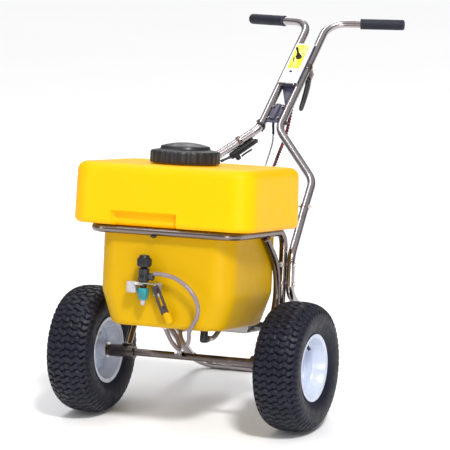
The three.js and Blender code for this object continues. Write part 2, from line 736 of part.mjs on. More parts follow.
// The hoses run from the pump under the tank: one up to the nozzle, one back into the tank.
function buildHoses() {
  const feed = [
    [valveX + 27 + gap, valveY, 229], [11, -240, 229], [39, -241, 225.5], [62, -242, 217.5],
    [85, -242, 203], [102, -242, 186], [113, -241, 168], [117.5, -240, 148], [114, -237, 127],
    [101, -230, 107], [87, -219, 89], [77.5, -200, 69], [67, -181, 53.5], [51, -165, 48],
    [37, -150, 55], [25, -135, 67], [13, -110, 76], [9, -80, 78], [9, -20, 78], [11, 40, 78],
    [feedX, 80, hosePortHeight], [feedX, hosePort - 14, hosePortHeight],
    [feedX, hosePort, hosePortHeight],
  ];
  addPart('nozzle_hose', hose(feed, hoseRadius, 56), 'clearHose');
  const bypass = [
    [-35, -100, bodyBottom - 2 * gap], [-35, -100, 80], [-29, -97, 65], [-21, -90, 46], [-13, -77, 30],
    [-10, -62, 25], [-17, -52, 38], [-30, -43, 56], [-44, -38, 70], [-56, -28, 77], [-60, -8, 78],
    [-54, 22, 78], [-36, 52, 78], [-18, 76, hosePortHeight], [bypassX, hosePort - 18, hosePortHeight],
    [bypassX, hosePort - 8, hosePortHeight], [bypassX, hosePort, hosePortHeight],
  ];
  addPart('bypass_hose', hose(bypass, hoseRadius, 36), 'clearHose');
}

// ---------------------------------------------------------------- controls on the handle
// The stems lie along "rise"; "lift" is square to them, up and forward.
const stemLength = Math.hypot(stemHead[0] - stemFoot[0], stemHead[1] - stemFoot[1]);
const rise = [(stemHead[0] - stemFoot[0]) / stemLength, (stemHead[1] - stemFoot[1]) / stemLength];
const stemSlope = Math.atan2(rise[1], rise[0]);

// Lays a block given in stem coordinates (x across, distance up the stem, lift above it) onto the stems.
function onStems(geometry) {
  return geometry.rotateX(stemSlope).translate(0, ...stemFoot);
}

function buildPanel() {
  const [low, high] = [166, 325];
  const top = 18.5;
  const half = 28.5;
  const sheet = 2;
  const channel = joined(
    block([-half, low, top - sheet], [half, high, top]),
    block([-half, low, frameTube + gap], [sheet - half, high, top]),
    block([half - sheet, low, frameTube + gap], [half, high, top]),
  );
  const switchAt = 268;
  const hole = bar([0, switchAt, top - 10], [0, switchAt, top + 10], 6.3, 12);
  addPart('control_panel', onStems(cut(channel, hole)), 'brightSteel');
  const label = block([-20, 222, top + gap], [20, 320, top + gap + 0.6]);
  const labelHole = bar([0, switchAt, top - 10], [0, switchAt, top + 10], 9, 16);
  addPart('panel_label', onStems(cut(label, labelHole)), 'yellowLabel');
  const box = joined(
    block([-15, 236, -16], [15, 300, top - sheet - gap]),
    bar([0, switchAt, 0], [0, switchAt, top + 5], 6, 12),
  );
  const socket = bar([0, switchAt, top - 9], [0, switchAt, top + 20], 4.6, 12);
  addPart('switch_box', onStems(cut(box, socket)), 'blackPlastic');
  // The toggle rests in its upper position, tilted about a pivot just inside the mouth of its bush.
  const pivot = top + 3;
  const thrown = THREE.MathUtils.degToRad(-11);
  const lever = [
    [0, -2], [3.4, -2], [3.4, 5], [2.6, 9], [3.8, 28], [2.6, 32], [0, 33],
  ];
  const toggle = turned(lever, 12).rotateX(thrown).translate(0, switchAt, pivot);
  addPart('toggle_lever', onStems(toggle), 'blackPlastic');
  const bracket = joined(
    block([-16.6, 22, 2], [16.6, 92, 5]),
    block([-16.6, 89, -12], [16.6, 92, 5]),
  );
  addPart('handle_bracket', onStems(bracket), 'stainless');
}

function buildLever() {
  const leverX = stemHalf;
  const clampAt = 244;
  const saddle = block([leverX - 9, clampAt - 12, -32], [leverX + 9, clampAt + 12, -6]);
  const tubeHole = bar([leverX, clampAt - 20, 0], [leverX, clampAt + 20, 0], frameTube + gap, 16);
  const fork = block([leverX - 4.3, clampAt - 20, -40], [leverX + 4.3, clampAt + 20, -17]);
  addPart('lever_bracket', onStems(cut(saddle, tubeHole, fork)), 'blackPlastic');
  const blade = new THREE.Shape([
    [clampAt + 5, -18], [clampAt + 6, -30], [clampAt - 8, -50], [clampAt - 50, -66],
    [clampAt - 94, -68], [clampAt - 98, -60], [clampAt - 54, -52], [clampAt - 20, -38],
    [clampAt - 6, -18],
  ].map(([along, lift]) => new THREE.Vector2(along, lift)));
  const flat = new THREE.ExtrudeGeometry(blade, { depth: 8, bevelEnabled: false });
  // The shape's x runs up the stem and its y is the lift, so it is stood up across the machine.
  const swap = new THREE.Matrix4().set(0, 0, 1, leverX - 4, 1, 0, 0, 0, 0, 1, 0, 0, 0, 0, 0, 1);
  addPart('control_lever', onStems(closedMesh(flat.applyMatrix4(swap))), 'blackPlastic');
}

// The spray gun hangs under the slanting part of the left handle tube.
function buildGun() {
  const knee = point([-kneeAt[0], kneeAt[1], kneeAt[2]]);
  const foot = point([-stemHalf, ...stemFoot]);
  const along = foot.clone().sub(knee).normalize();
  const under = new THREE.Vector3(0, 0, -1);
  under.addScaledVector(along, -under.dot(along)).normalize();
  const at = (distance, drop) =>
    knee.clone().addScaledVector(along, distance).addScaledVector(under, drop).toArray();
  const drop = 23.5;
  const elbowEnd = [-40, 443, 551];
  const body = joined(
    bar(at(120, drop), at(204, drop), 10.5, 14),
    bar(at(133, drop), at(135, drop + 19), 7.5, 12),
    bar(at(197, drop), elbowEnd, 6.5, 10),
  );
  addPart('gun_body', body, 'blackPlastic');
  addPart('gun_wand', bar(at(119, drop), at(88, drop - 5), 4, 8), 'brightSteel');
  addPart('gun_trigger', bar(at(149, drop + 15.5), at(190, drop + 19), 3, 8), 'blackPlastic');
  const clip = cut(
    joined(bar(at(154, 0), at(166, 0), frameTube + 3, 16), bar(at(160, 8), at(160, drop), 5, 8)),
    bar(at(140, 0), at(180, 0), frameTube + gap, 16),
    bar(at(140, drop), at(180, drop), 10.5 + gap, 14),
  );
  addPart('gun_clip', clip, 'blackPlastic');
  const start = point(elbowEnd);
  const away = start.clone().sub(point(at(197, drop))).normalize();
  const tail = [
    start.clone().addScaledVector(away, 1).toArray(), start.clone().addScaledVector(away, 8).toArray(),
    [-50, 462, 550], [-68, 464, 552], [-88, 448, 546], [-110, 417, 528], [-150, 382, 491],
    [-158, 345, 452], [-120, 318, 420], [-60, 300, 390], [-18, 252, 338], [6, 190, 285],
    [36, 163, 248], [66, 153, 218],
    [81, pumpFront + 28, 186], [84, pumpFront + 28, 164], [84, pumpFront + 27, 152],
    [84, pumpFront + 27, pumpTop + gap],
  ];
  addPart('gun_hose', hose(tail, gunHoseRadius, 44), 'blackPlastic');
}

function buildCables() {
  const below = (x, distance, lift) => [
    x,
    stemFoot[0] + distance * rise[0] - lift * rise[1],
    stemFoot[1] + distance * rise[1] + lift * rise[0],
  ];
  const bowden = [
    below(16.8, 236, -24), below(13.5, 235.5, -24), below(10.5, 226, -22), below(10, 200, -19.5),
    below(8.5, 170, -20), below(5, 142, -24), [-6, 540, 640], [-14, 510, 622], [-13, 494, 600],
    [-9, 487, 578], [-4, 474, 552], [0, 446, 520], [2, 416, 486], [14, 340, 420], [28, 262, 340],
    [38, 196, 262], [40, pumpFront + 29, 190], [40, pumpFront + 27, 160],
    [40, pumpFront + 27, pumpTop + gap],
  ];
  addPart('control_cable', hose(bowden, 2.2, 44), 'cable');
  const port = shelfFront + 84;
  const power = [
    below(0, 234.4, -8), below(0, 226, -9), below(0, 206, -24), [1, 596, 668], [2, 580, 634],
    [6, 560, 607], [9, 540, 580], [12, 512, 550],
    [14, 478, 519], [18, 440, 486], [22, 360, 420], [12, 290, 350], [4, 240, 290], [0, 214, 240],
    [-6, port + 4, 210], [-17, port, 195], [-27, port, 192], [boxHigh[0] + 3 * gap, port, 192],
  ];
  addPart('power_cable', hose(power, 3.8, 40), 'redCable');
}

// ---------------------------------------------------------------- assembly
buildRails();
buildStand();
buildAxleLegs();
buildHandles();
buildFrameBolts();
buildAxle();
buildWheel(-1);
buildWheel(1);
buildTank();
buildCap();
buildDrain();
buildShelf();
buildBattery();
buildPump();
buildNozzleStrap();
buildTankRest();
buildNozzle();
buildHoses();
buildPanel();
buildLever();
buildGun();
buildCables();

// Stand the machine on the floor with the middle of its box over the origin.
machine.updateMatrixWorld(true);
const bounds = new THREE.Box3().setFromObject(machine, true);
const middle = bounds.getCenter(new THREE.Vector3());
machine.position.set(-middle.x, -middle.y, -bounds.min.z);

export default machine;
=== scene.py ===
"""Looks for the walk-behind liquid sprayer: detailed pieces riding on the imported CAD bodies.

Shapes are laid out in millimetres in the sprayer's own level frame, with the middle of the axle at zero,
+X to the right and -Y to the front, and then leaned back onto the stand and moved into the row frame. Wheel
pieces skip the lean. A shape is (vertices, faces), and a tube adds its uv as a third item.
"""

import math

import bmesh
import bpy
import numpy as np
from mathutils import Matrix, Vector


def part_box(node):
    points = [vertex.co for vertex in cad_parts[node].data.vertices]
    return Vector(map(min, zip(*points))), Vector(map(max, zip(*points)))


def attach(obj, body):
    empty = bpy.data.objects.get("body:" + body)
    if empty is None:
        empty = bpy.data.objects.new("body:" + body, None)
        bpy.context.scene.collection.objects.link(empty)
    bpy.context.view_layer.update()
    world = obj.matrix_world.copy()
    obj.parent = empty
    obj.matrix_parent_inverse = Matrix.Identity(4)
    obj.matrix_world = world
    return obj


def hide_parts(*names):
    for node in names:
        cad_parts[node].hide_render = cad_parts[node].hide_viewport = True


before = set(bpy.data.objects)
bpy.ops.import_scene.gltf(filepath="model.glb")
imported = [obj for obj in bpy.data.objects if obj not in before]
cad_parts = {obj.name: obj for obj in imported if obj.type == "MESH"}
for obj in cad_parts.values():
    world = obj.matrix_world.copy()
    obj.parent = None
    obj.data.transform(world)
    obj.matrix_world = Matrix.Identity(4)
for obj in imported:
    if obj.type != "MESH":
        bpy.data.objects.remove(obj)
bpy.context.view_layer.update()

LEAN = math.radians(9.8)
axle_low, axle_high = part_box("axle")
AXLE = (axle_low + axle_high) / 2
TO_WHEEL = Matrix.Translation(AXLE) @ Matrix.Scale(0.001, 4)
TO_ROW = Matrix.Translation(AXLE) @ Matrix.Rotation(-LEAN, 4, "X") @ Matrix.Scale(0.001, 4)

# ------------------------------------------------------------------ camera
scene = bpy.context.scene
EYE = Vector((3371.905, -7442.106, 861.336))
AHEAD = Vector((-0.40422, 0.91250, -0.06296)).normalized()
RIGHT = Vector((0.91237, 0.40712, 0.04290)).normalized()
camera_data = bpy.data.cameras.new("camera")
camera_data.sensor_width = 36
camera_data.lens = 253.67624
camera_data.clip_end = 60
camera = bpy.data.objects.new("camera", camera_data)
scene.collection.objects.link(camera)
tip_back = Matrix.Rotation(-LEAN, 3, "X")
ahead, right = tip_back @ AHEAD, tip_back @ RIGHT
right = (right - ahead * right.dot(ahead)).normalized()
up = right.cross(ahead)
camera.matrix_world = Matrix.Translation(TO_ROW @ EYE) @ Matrix((right, up, -ahead)).transposed().to_4x4()
scene.camera = camera

# ------------------------------------------------------------------ materials
MIX_FACTOR, MIX_UNDER, MIX_OVER, MIX_COLOR_OUT = 0, 6, 7, 2
ALONG = dict(along_tube=True)
MAT = {}


class Shader:
    """A small helper around one material's node tree. It files the material in MAT."""

    def __init__(self, name, color, roughness, metallic=0.0, **sockets):
        self.material = bpy.data.materials.new(name)
        self.material.use_nodes = True
        self.tree = self.material.node_tree
        self.bsdf = self.tree.nodes["Principled BSDF"]
        self.base = color
        self.bsdf.inputs["Base Color"].default_value = (*color, 1)
        self.bsdf.inputs["Roughness"].default_value = roughness
        self.bsdf.inputs["Metallic"].default_value = metallic
        for socket, value in sockets.items():
            self.bsdf.inputs[socket.replace("_", " ")].default_value = value
        self.material.diffuse_color = (*color, 1)
        MAT[name] = self.material

    def node(self, kind, **values):
        made = self.tree.nodes.new(kind)
        for key, value in values.items():
            if key in made.inputs:
                made.inputs[key].default_value = value
            else:
                setattr(made, key, value)
        return made

    def link(self, source, target):
        self.tree.links.new(source, target)

    def where(self, stretch=(1, 1, 1), along_tube=False):
        """Object coordinates in metres, or tube coordinates (round, along), stretched."""
        coordinates = self.node("ShaderNodeTexCoord")
        mapping = self.node("ShaderNodeMapping", Scale=stretch)
        self.link(coordinates.outputs["UV" if along_tube else "Object"], mapping.inputs["Vector"])
        return mapping.outputs["Vector"]

    def noise(self, scale, detail=3.0, **where):
        made = self.node("ShaderNodeTexNoise", Scale=scale, Detail=detail, Roughness=0.55)
        self.link(self.where(**where), made.inputs["Vector"])
        return made.outputs["Fac"]

    def ramp(self, factor, low, high, color_low=(0, 0, 0), color_high=(1, 1, 1)):
        made = self.node("ShaderNodeValToRGB")
        for stop, at, color in zip(made.color_ramp.elements, (low, high), (color_low, color_high)):
            stop.position = at
            stop.color = (*color, 1)
        self.link(factor, made.inputs["Fac"])
        return made.outputs["Color"]

    def mottle(self, scale, darker, **noise):
        """Base colour that wanders between a darker tone and its own."""
        tone = self.ramp(self.noise(scale, **noise), 0.3, 0.7, darker, self.base)
        self.link(tone, self.bsdf.inputs["Base Color"])
        return self

    def stain(self, color, scale, low, high, detail=3.0):
        """Lays a second colour over the first in patches."""
        return self.cover(color, self.ramp(self.noise(scale, detail), low, high))

    def worn_edges(self, color):
        """Lighter convex edges, from the shape of the mesh."""
        shape = self.node("ShaderNodeNewGeometry")
        return self.cover(color, self.ramp(shape.outputs["Pointiness"], 0.53, 0.6))

    def cover(self, color, mask):
        """Lays a colour over a mottled base where the mask is light."""
        source = self.bsdf.inputs["Base Color"]
        mix = self.node("ShaderNodeMix", data_type="RGBA")
        mix.inputs[MIX_OVER].default_value = (*color, 1)
        self.link(mask, mix.inputs[MIX_FACTOR])
        self.link(source.links[0].from_socket, mix.inputs[MIX_UNDER])
        self.link(mix.outputs[MIX_COLOR_OUT], source)
        return self

    def gloss(self, scale, low, high, **noise):
        """Roughness that varies over the surface."""
        spread = self.node("ShaderNodeMapRange")
        for socket, value in (("From Min", 0.3), ("From Max", 0.7), ("To Min", low), ("To Max", high)):
            spread.inputs[socket].default_value = value
        self.link(self.noise(scale, **noise), spread.inputs["Value"])
        self.link(spread.outputs["Result"], self.bsdf.inputs["Roughness"])
        return self

    def bump(self, scale, strength, distance=0.0005, **noise):
        made = self.node("ShaderNodeBump", Strength=strength, Distance=distance)
        self.link(self.noise(scale, **noise), made.inputs["Height"])
        normal = self.bsdf.inputs["Normal"]
        if normal.is_linked:
            self.link(normal.links[0].from_socket, made.inputs["Normal"])
        self.link(made.outputs["Normal"], normal)
        return self


def drawn_steel(name, color, roughness, darker, stain, gloss):
    """Bent tube with fine streaks along it and brown stains."""
    made = Shader(name, color, roughness, 1.0).mottle(3.0, darker, stretch=(40, 2, 1), **ALONG)
    return made.stain(*stain, detail=4).gloss(2.5, *gloss, stretch=(60, 3, 1), **ALONG)


def make_metals():
    streaks = dict(stretch=(110, 3, 1), **ALONG)
    tube_steel = drawn_steel("stainless_tube", (0.50, 0.465, 0.475), 0.2, (0.35, 0.31, 0.315),
                             ((0.24, 0.19, 0.165), 9, 0.58, 0.78), (0.11, 0.30))
    tube_steel.bump(3, 0.10, 0.0002, **streaks)
    # painted shade: the same drawn stainless painted darker and browner, for the rail, the axle legs and
    # the clamps that sit in shadow
    stainless_in_painted_shade = drawn_steel("stainless_in_painted_shade", (0.25, 0.21, 0.192), 0.22, (0.16, 0.13, 0.118),
                              ((0.20, 0.155, 0.135), 9, 0.56, 0.76), (0.13, 0.34))
    stainless_in_painted_shade.bump(3, 0.10, 0.0002, **streaks)
    axle_steel = drawn_steel("axle_steel", (0.17, 0.145, 0.14), 0.3, (0.11, 0.09, 0.085),
                             ((0.36, 0.30, 0.27), 12, 0.6, 0.8), (0.2, 0.45))
    axle_steel.bump(60, 0.10, 0.0002)
    sheet = Shader("stainless_sheet", (0.44, 0.405, 0.385), 0.33, 1.0)
    sheet.mottle(14, (0.31, 0.28, 0.265), stretch=(1, 14, 1)).gloss(8, 0.24, 0.44, stretch=(1, 20, 1))
    sheet.bump(60, 0.08, 0.0002, stretch=(1, 16, 1)).worn_edges((0.72, 0.70, 0.68))
    panel = Shader("panel_steel", (0.80, 0.80, 0.83), 0.34, 0.25)
    panel.mottle(10, (0.70, 0.70, 0.73), stretch=(12, 1, 1)).gloss(6, 0.22, 0.38, stretch=(18, 1, 1))
    panel.bump(50, 0.07, 0.0002, stretch=(16, 1, 1))
    zinc = Shader("bolt_zinc", (0.62, 0.60, 0.58), 0.30, 1.0)
    zinc.mottle(120, (0.42, 0.40, 0.38)).gloss(200, 0.2, 0.45).worn_edges((0.85, 0.84, 0.82))
    Shader("cable_steel", (0.50, 0.50, 0.56), 0.3, 1.0).mottle(300, (0.34, 0.34, 0.40)).bump(1200, 0.2,
                                                                                             0.0003)
    Shader("weld_bead", (0.34, 0.29, 0.27), 0.36, 1.0).mottle(260, (0.17, 0.13, 0.15)).bump(500, 0.4,
                                                                                            0.0006)
    rim = Shader("rim_paint", (0.55, 0.60, 0.72), 0.26, 0.0, Coat_Weight=0.25, Coat_Roughness=0.12)
    rim.mottle(9, (0.44, 0.49, 0.62)).stain((0.30, 0.33, 0.41), 26, 0.62, 0.85, detail=5)
    rim.gloss(40, 0.18, 0.36).bump(700, 0.06, 0.0002)
    # dark navy for the cross bracket; the panel's gusset, end wall and flange strip wear the same navy as
    # painted shade
    navy = Shader("navy_and_painted_shade", (0.010, 0.011, 0.034), 0.42, Specular_IOR_Level=0.25)
    navy.mottle(30, (0.008, 0.009, 0.026)).gloss(80, 0.26, 0.46).bump(700, 0.08, 0.0002)
    navy.worn_edges((0.10, 0.10, 0.15))


def make_plastics():
    tank = Shader("tank_plastic", (0.97, 0.475, 0.0), 0.44, Specular_IOR_Level=0.12)
    tank.mottle(4.0, (0.94, 0.45, 0.0), detail=2).stain((0.78, 0.48, 0.01), 55, 0.68, 0.82, detail=4)
    # painted shade: the body below the deck is painted a deeper, darker yellow, by height square to the
    # leaning deck, for the shadow under the deck's overhang
    height = tank.node("ShaderNodeVectorMath", operation="DOT_PRODUCT")
    tank.link(tank.where(), height.inputs[0])
    height.inputs[1].default_value = (0, math.sin(LEAN), math.cos(LEAN))
    shade = tank.ramp(height.outputs["Value"], 0.405, 0.452, (0.85, 0.85, 0.85), (0, 0, 0))
    tank.cover((0.50, 0.305, 0.002), shade)
    tank.gloss(30, 0.34, 0.50).bump(900, 0.16, 0.0004).bump(26, 0.12, 0.003, detail=1)
    tyre = Shader("tyre_rubber", (0.0075, 0.008, 0.019), 0.46, Specular_IOR_Level=0.27)
    tyre.mottle(18, (0.004, 0.0045, 0.011)).stain((0.020, 0.019, 0.022), 38, 0.6, 0.84, detail=5)
    tyre.gloss(60, 0.38, 0.6).bump(1500, 0.16, 0.0002).bump(120, 0.10, 0.0008)
    cap = Shader("cap_plastic", (0.016, 0.016, 0.019), 0.42, Specular_IOR_Level=0.4)
    cap.mottle(30, (0.014, 0.014, 0.016)).gloss(50, 0.32, 0.5).bump(1400, 0.12, 0.0002)
    cap.worn_edges((0.055, 0.055, 0.06))
    black = Shader("black_plastic", (0.012, 0.012, 0.015), 0.44, Specular_IOR_Level=0.32)
    black.mottle(60, (0.009, 0.009, 0.011)).gloss(90, 0.3, 0.52).bump(1800, 0.12, 0.0002)
    black.worn_edges((0.05, 0.05, 0.055))
    rubber = Shader("black_rubber", (0.017, 0.017, 0.019), 0.66)
    rubber.mottle(60, (0.01, 0.01, 0.012)).gloss(120, 0.52, 0.74).bump(1600, 0.14, 0.0002)
    grip = Shader("grip_vinyl", (0.012, 0.013, 0.026), 0.5, Specular_IOR_Level=0.3)
    grip.mottle(40, (0.010, 0.011, 0.02)).gloss(70, 0.4, 0.62).bump(1300, 0.18, 0.0002)
    grip.worn_edges((0.05, 0.054, 0.08))


def make_small_plastics():
    clear = Shader("clear_hose", (0.34, 0.28, 0.30), 0.20, Transmission_Weight=0.30, IOR=1.42,
                   Coat_Weight=0.4, Coat_Roughness=0.08)
    clear.mottle(14, (0.24, 0.19, 0.21), stretch=(1, 40, 1), **ALONG)
    clear.stain((0.62, 0.57, 0.60), 30, 0.62, 0.8).bump(300, 0.05, 0.0003)
    grey = Shader("grey_hose", (0.27, 0.26, 0.29), 0.32, Transmission_Weight=0.15, Coat_Weight=0.3)
    grey.mottle(20, (0.16, 0.155, 0.18)).bump(300, 0.06, 0.0003)
    teal = Shader("teal_plastic", (0.012, 0.235, 0.26), 0.34, Specular_IOR_Level=0.5)
    teal.mottle(80, (0.007, 0.15, 0.18)).gloss(140, 0.26, 0.42).worn_edges((0.05, 0.36, 0.38))
    white = Shader("white_plastic", (0.50, 0.49, 0.51), 0.42)
    white.mottle(60, (0.36, 0.35, 0.37)).gloss(90, 0.34, 0.5).bump(900, 0.08, 0.0002)
    label = Shader("label_film", (0.95, 0.84, 0.01), 0.34, Coat_Weight=0.3)
    label.mottle(40, (0.88, 0.76, 0.008)).bump(500, 0.04, 0.0002)
    Shader("label_ink", (0.022, 0.02, 0.02), 0.42).mottle(200, (0.04, 0.037, 0.035)).bump(900, 0.04, 0.0001)
    red = Shader("red_wire", (0.20, 0.010, 0.016), 0.42, Specular_IOR_Level=0.3)
    red.mottle(90, (0.13, 0.006, 0.012)).bump(900, 0.05, 0.0002)
    Shader("dark_wire", (0.05, 0.006, 0.014), 0.38).mottle(90, (0.03, 0.004, 0.01)).bump(900, 0.05, 0.0002)
    Shader("cable_sleeve", (0.028, 0.038, 0.10), 0.42).mottle(90, (0.016, 0.022, 0.06)).bump(900, 0.05,
                                                                                             0.0002)


make_metals()
make_plastics()
make_small_plastics()


# ------------------------------------------------------------------ mesh tools
def vec(values):
    return np.asarray(values, float)


def unit(values):
    return values / np.linalg.norm(values)


def ease(value):
    """A smooth step from 0 to 1."""
    value = np.clip(value, 0, 1)
    return value * value * (3 - 2 * value)


def place(name, shape, material, node=None, body="chassis", home=TO_ROW, crease=38):
    """Makes one piece from a shape in millimetres and lets it ride on a body."""
    mesh = bpy.data.meshes.new(name)
    mesh.from_pydata([tuple(v) for v in vec(shape[0])], [], [tuple(int(i) for i in f) for f in shape[1]])
    if len(shape) > 2:
        layer = mesh.uv_layers.new(name="UVMap")
        index = np.empty(len(mesh.loops), np.int32)
        mesh.loops.foreach_get("vertex_index", index)
        layer.data.foreach_set("uv", np.asarray(shape[2], np.float32)[index].ravel())
    mesh.transform(home)
    work = bmesh.new()
    work.from_mesh(mesh)
    bmesh.ops.recalc_face_normals(work, faces=work.faces)
    work.to_mesh(mesh)
    work.free()
    mesh.shade_smooth()
    mesh.set_sharp_from_angle(angle=math.radians(crease))
    mesh.materials.append(MAT[material])
    made = bpy.data.objects.new(name, mesh)
    scene.collection.objects.link(made)
    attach(made, body)
    if node:
        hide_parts(node)


def grid_faces(rows, count, closed=False):
    """Quads between equal rings stored one after another. Closed also joins the last ring to the first."""
    faces = []
    for level in range(rows if closed else rows - 1):
        a, b = level * count, (level + 1) % rows * count
        faces += [(a + i, a + (i + 1) % count, b + (i + 1) % count, b + i) for i in range(count)]
    return faces


def lofted(rings):
    """One skin over equal rings, with flat ends."""
    count = len(rings[0])
    total = len(rings) * count
    ends = [tuple(range(count))[::-1], tuple(range(total - count, total))]
    return np.concatenate([vec(ring) for ring in rings]), grid_faces(len(rings), count) + ends


def lathe(profile, sides=64, ribs=None):
    """Turns (radius, height) points about Z. A radius of 0 is a pole, and an equal first and last point
    close the profile into a ring. ribs(angle, level, radius) may change the radius."""
    angles = np.linspace(0, 2 * math.pi, sides, endpoint=False)
    is_ring = profile[0] == profile[-1]
    verts, rows, faces = [], [], []
    for level, (radius, height) in enumerate(profile[:-1] if is_ring else profile):
        rows.append(len(verts))
        if radius == 0:
            verts.append((0, 0, height))
            continue
        for angle in angles:
            r = ribs(angle, level, radius) if ribs else radius
            verts.append((r * math.cos(angle), r * math.sin(angle), height))
    if is_ring:
        rows.append(rows[0])
    for level in range(len(profile) - 1):
        low, high = rows[level], rows[level + 1]
        low_pole, high_pole = profile[level][0] == 0, profile[level + 1][0] == 0
        for i in range(0 if low_pole and high_pole else sides):
            j = (i + 1) % sides
            if low_pole:
                faces.append((low, high + j, high + i))
            elif high_pole:
                faces.append((low + i, low + j, high))
            else:
                faces.append((low + i, low + j, high + j, high + i))
    return vec(verts), faces


def aim(shape, at, direction=(0, 0, 1)):
    """Moves a shape built about +Z to a point, facing a direction."""
    turn = np.array(Vector((0, 0, 1)).rotation_difference(Vector(direction)).to_matrix())
    return vec(shape[0]) @ turn.T + vec(at), shape[1]


def carried(shape, where):
    """The same faces, with each vertex carried by where(x, y, z)."""
    return vec([where(*v) for v in shape[0]]), shape[1]


def rounded(work, edges, bevel, steps):
    """Rounds the edges of a bmesh and hands it over as a shape."""
    if bevel > 0:
        bmesh.ops.bevel(work, geom=edges, offset=bevel, segments=steps, profile=0.5, affect="EDGES",
                        clamp_overlap=True)
    verts = np.array([v.co[:] for v in work.verts])
    work.verts.index_update()
    faces = [tuple(v.index for v in f.verts) for f in work.faces]
    work.free()
    return verts, faces


def block(corner, opposite, bevel, steps=2):
    """A box between two corners, with rounded edges."""
    low, high = np.minimum(corner, opposite), np.maximum(corner, opposite)
    work = bmesh.new()
    bmesh.ops.create_cube(work, size=1)
    for v in work.verts:
        v.co = Vector(((low + high) / 2 + vec(v.co) * (high - low)).tolist())
    return rounded(work, list(work.edges), bevel, steps)


def slab(outline, low, high, bevel):
    """A flat outline in x, y pulled up from low to high, with rounded rims."""
    work = bmesh.new()
    base = work.faces.new([work.verts.new((x, y, low)) for x, y in outline])
    pulled = bmesh.ops.extrude_face_region(work, geom=[base])
    for v in (g for g in pulled["geom"] if isinstance(g, bmesh.types.BMVert)):
        v.co.z = high
    rims = [e for e in work.edges if abs(e.verts[0].co.z - e.verts[1].co.z) < 1e-6]
    return rounded(work, rims, bevel, 2)


def arc(centre, radius, start, stop, count):
    """Points on a circle, from one angle to another."""
    return [(centre[0] + radius * math.cos(a), centre[1] + radius * math.sin(a))
            for a in np.linspace(start, stop, count)]


def round_outline(half_x, half_y, radius, steps=6, at=(0, 0)):
    points = []
    for quarter, (sx, sy) in enumerate(((1, 1), (-1, 1), (-1, -1), (1, -1))):
        for i in range(steps + 1):
            angle = (quarter + i / steps) * math.pi / 2
            points.append((at[0] + sx * (half_x - radius) + radius * math.cos(angle),
                           at[1] + sy * (half_y - radius) + radius * math.sin(angle)))
    return points


def merged(*shapes):
    """Several closed shells as one shape, without uv."""
    verts, faces, start = [], [], 0
    for shape in shapes:
        verts.append(vec(shape[0]))
        faces += [tuple(i + start for i in f) for f in shape[1]]
        start += len(shape[0])
    return np.concatenate(verts), faces


def filleted(corners, radii, steps=14):
    """Straight runs joined by round bends."""
    points = [vec(c) for c in corners]
    path = [points[0]]
    for i, radius in enumerate(radii, 1):
        corner = points[i]
        back, onward = unit(points[i - 1] - corner), unit(points[i + 1] - corner)
        half = math.acos(np.clip(back @ onward, -1, 1)) / 2
        centre = corner + unit(back + onward) * radius / math.sin(half)
        arm = corner + back * radius / math.tan(half) - centre
        axis = Vector(unit(np.cross(onward, back)))
        for step in range(steps + 1):
            turn = Matrix.Rotation((math.pi - 2 * half) * step / steps, 3, axis)
            path.append(centre + np.array(turn) @ arm)
    path.append(points[-1])
    return np.array(path)


def split_runs(path, longest=30):
    """Adds stations so that no run is much longer than this."""
    out = [path[0]]
    for a, b in zip(path[:-1], path[1:]):
        parts = max(1, int(np.linalg.norm(b - a) // longest))
        out += [a + (b - a) * k / parts for k in range(1, parts + 1)]
    return np.array(out)


def lengths(path):
    """Distance along a path, at each station."""
    return np.concatenate([[0], np.cumsum(np.linalg.norm(np.diff(path, axis=0), axis=1))])


def smooth_path(points, count):
    """Centripetal Catmull-Rom through the points, evenly spaced."""
    p = [vec(q) for q in points]
    p = [2 * p[0] - p[1]] + p + [2 * p[-1] - p[-2]]
    out = []
    for p0, p1, p2, p3 in zip(p, p[1:], p[2:], p[3:]):
        t0 = 0.0
        t1 = t0 + np.linalg.norm(p1 - p0) ** 0.5
        t2 = t1 + np.linalg.norm(p2 - p1) ** 0.5
        t3 = t2 + np.linalg.norm(p3 - p2) ** 0.5
        for t in np.linspace(t1, t2, 16, endpoint=False):
            a1 = (t1 - t) / (t1 - t0) * p0 + (t - t0) / (t1 - t0) * p1
            a2 = (t2 - t) / (t2 - t1) * p1 + (t - t1) / (t2 - t1) * p2
            a3 = (t3 - t) / (t3 - t2) * p2 + (t - t2) / (t3 - t2) * p3
            b1 = (t2 - t) / (t2 - t0) * a1 + (t - t0) / (t2 - t0) * a2
            b2 = (t3 - t) / (t3 - t1) * a2 + (t - t1) / (t3 - t1) * a3
            out.append((t2 - t) / (t2 - t1) * b1 + (t - t1) / (t2 - t1) * b2)
    out.append(p[-2])
    out = np.array(out)
    length = lengths(out)
    even = np.linspace(0, length[-1], count)
    return np.stack([np.interp(even, length, out[:, k]) for k in range(3)], -1)


def frames_along(path):
    """Tangent, side and up at each station, without twist."""
    tangents = np.gradient(path, axis=0)
    tangents[0], tangents[-1] = path[1] - path[0], path[-1] - path[-2]
    tangents /= np.linalg.norm(tangents, axis=1, keepdims=True)
    side = unit(np.cross(tangents[0], (0.31, 0.17, 0.93)))
    sides = [side]
    for t in tangents[1:]:
        side = unit(side - t * (side @ t))
        sides.append(side)
    sides = np.array(sides)
    return tangents, sides, np.cross(tangents, sides)


def tube(path, radius, sides=24, swell=None):
    """A round tube along a path, with uv (round, along in metres). swell(along) scales the radius."""
    path = vec(path)
    _, side, over = frames_along(path)
    angles = np.linspace(0, 2 * math.pi, sides, endpoint=False)
    cos, sin = np.cos(angles)[:, None], np.sin(angles)[:, None]
    rings, uv = [], []
    for k, along in enumerate(lengths(path)):
        scale = swell(along) if swell else 1.0
        rings.append(path[k] + radius * scale * (cos * side[k] + sin * over[k]))
        uv += [(math.sin(a / 2) ** 2 * 0.07, along / 1000) for a in angles]
    return *lofted(rings), uv


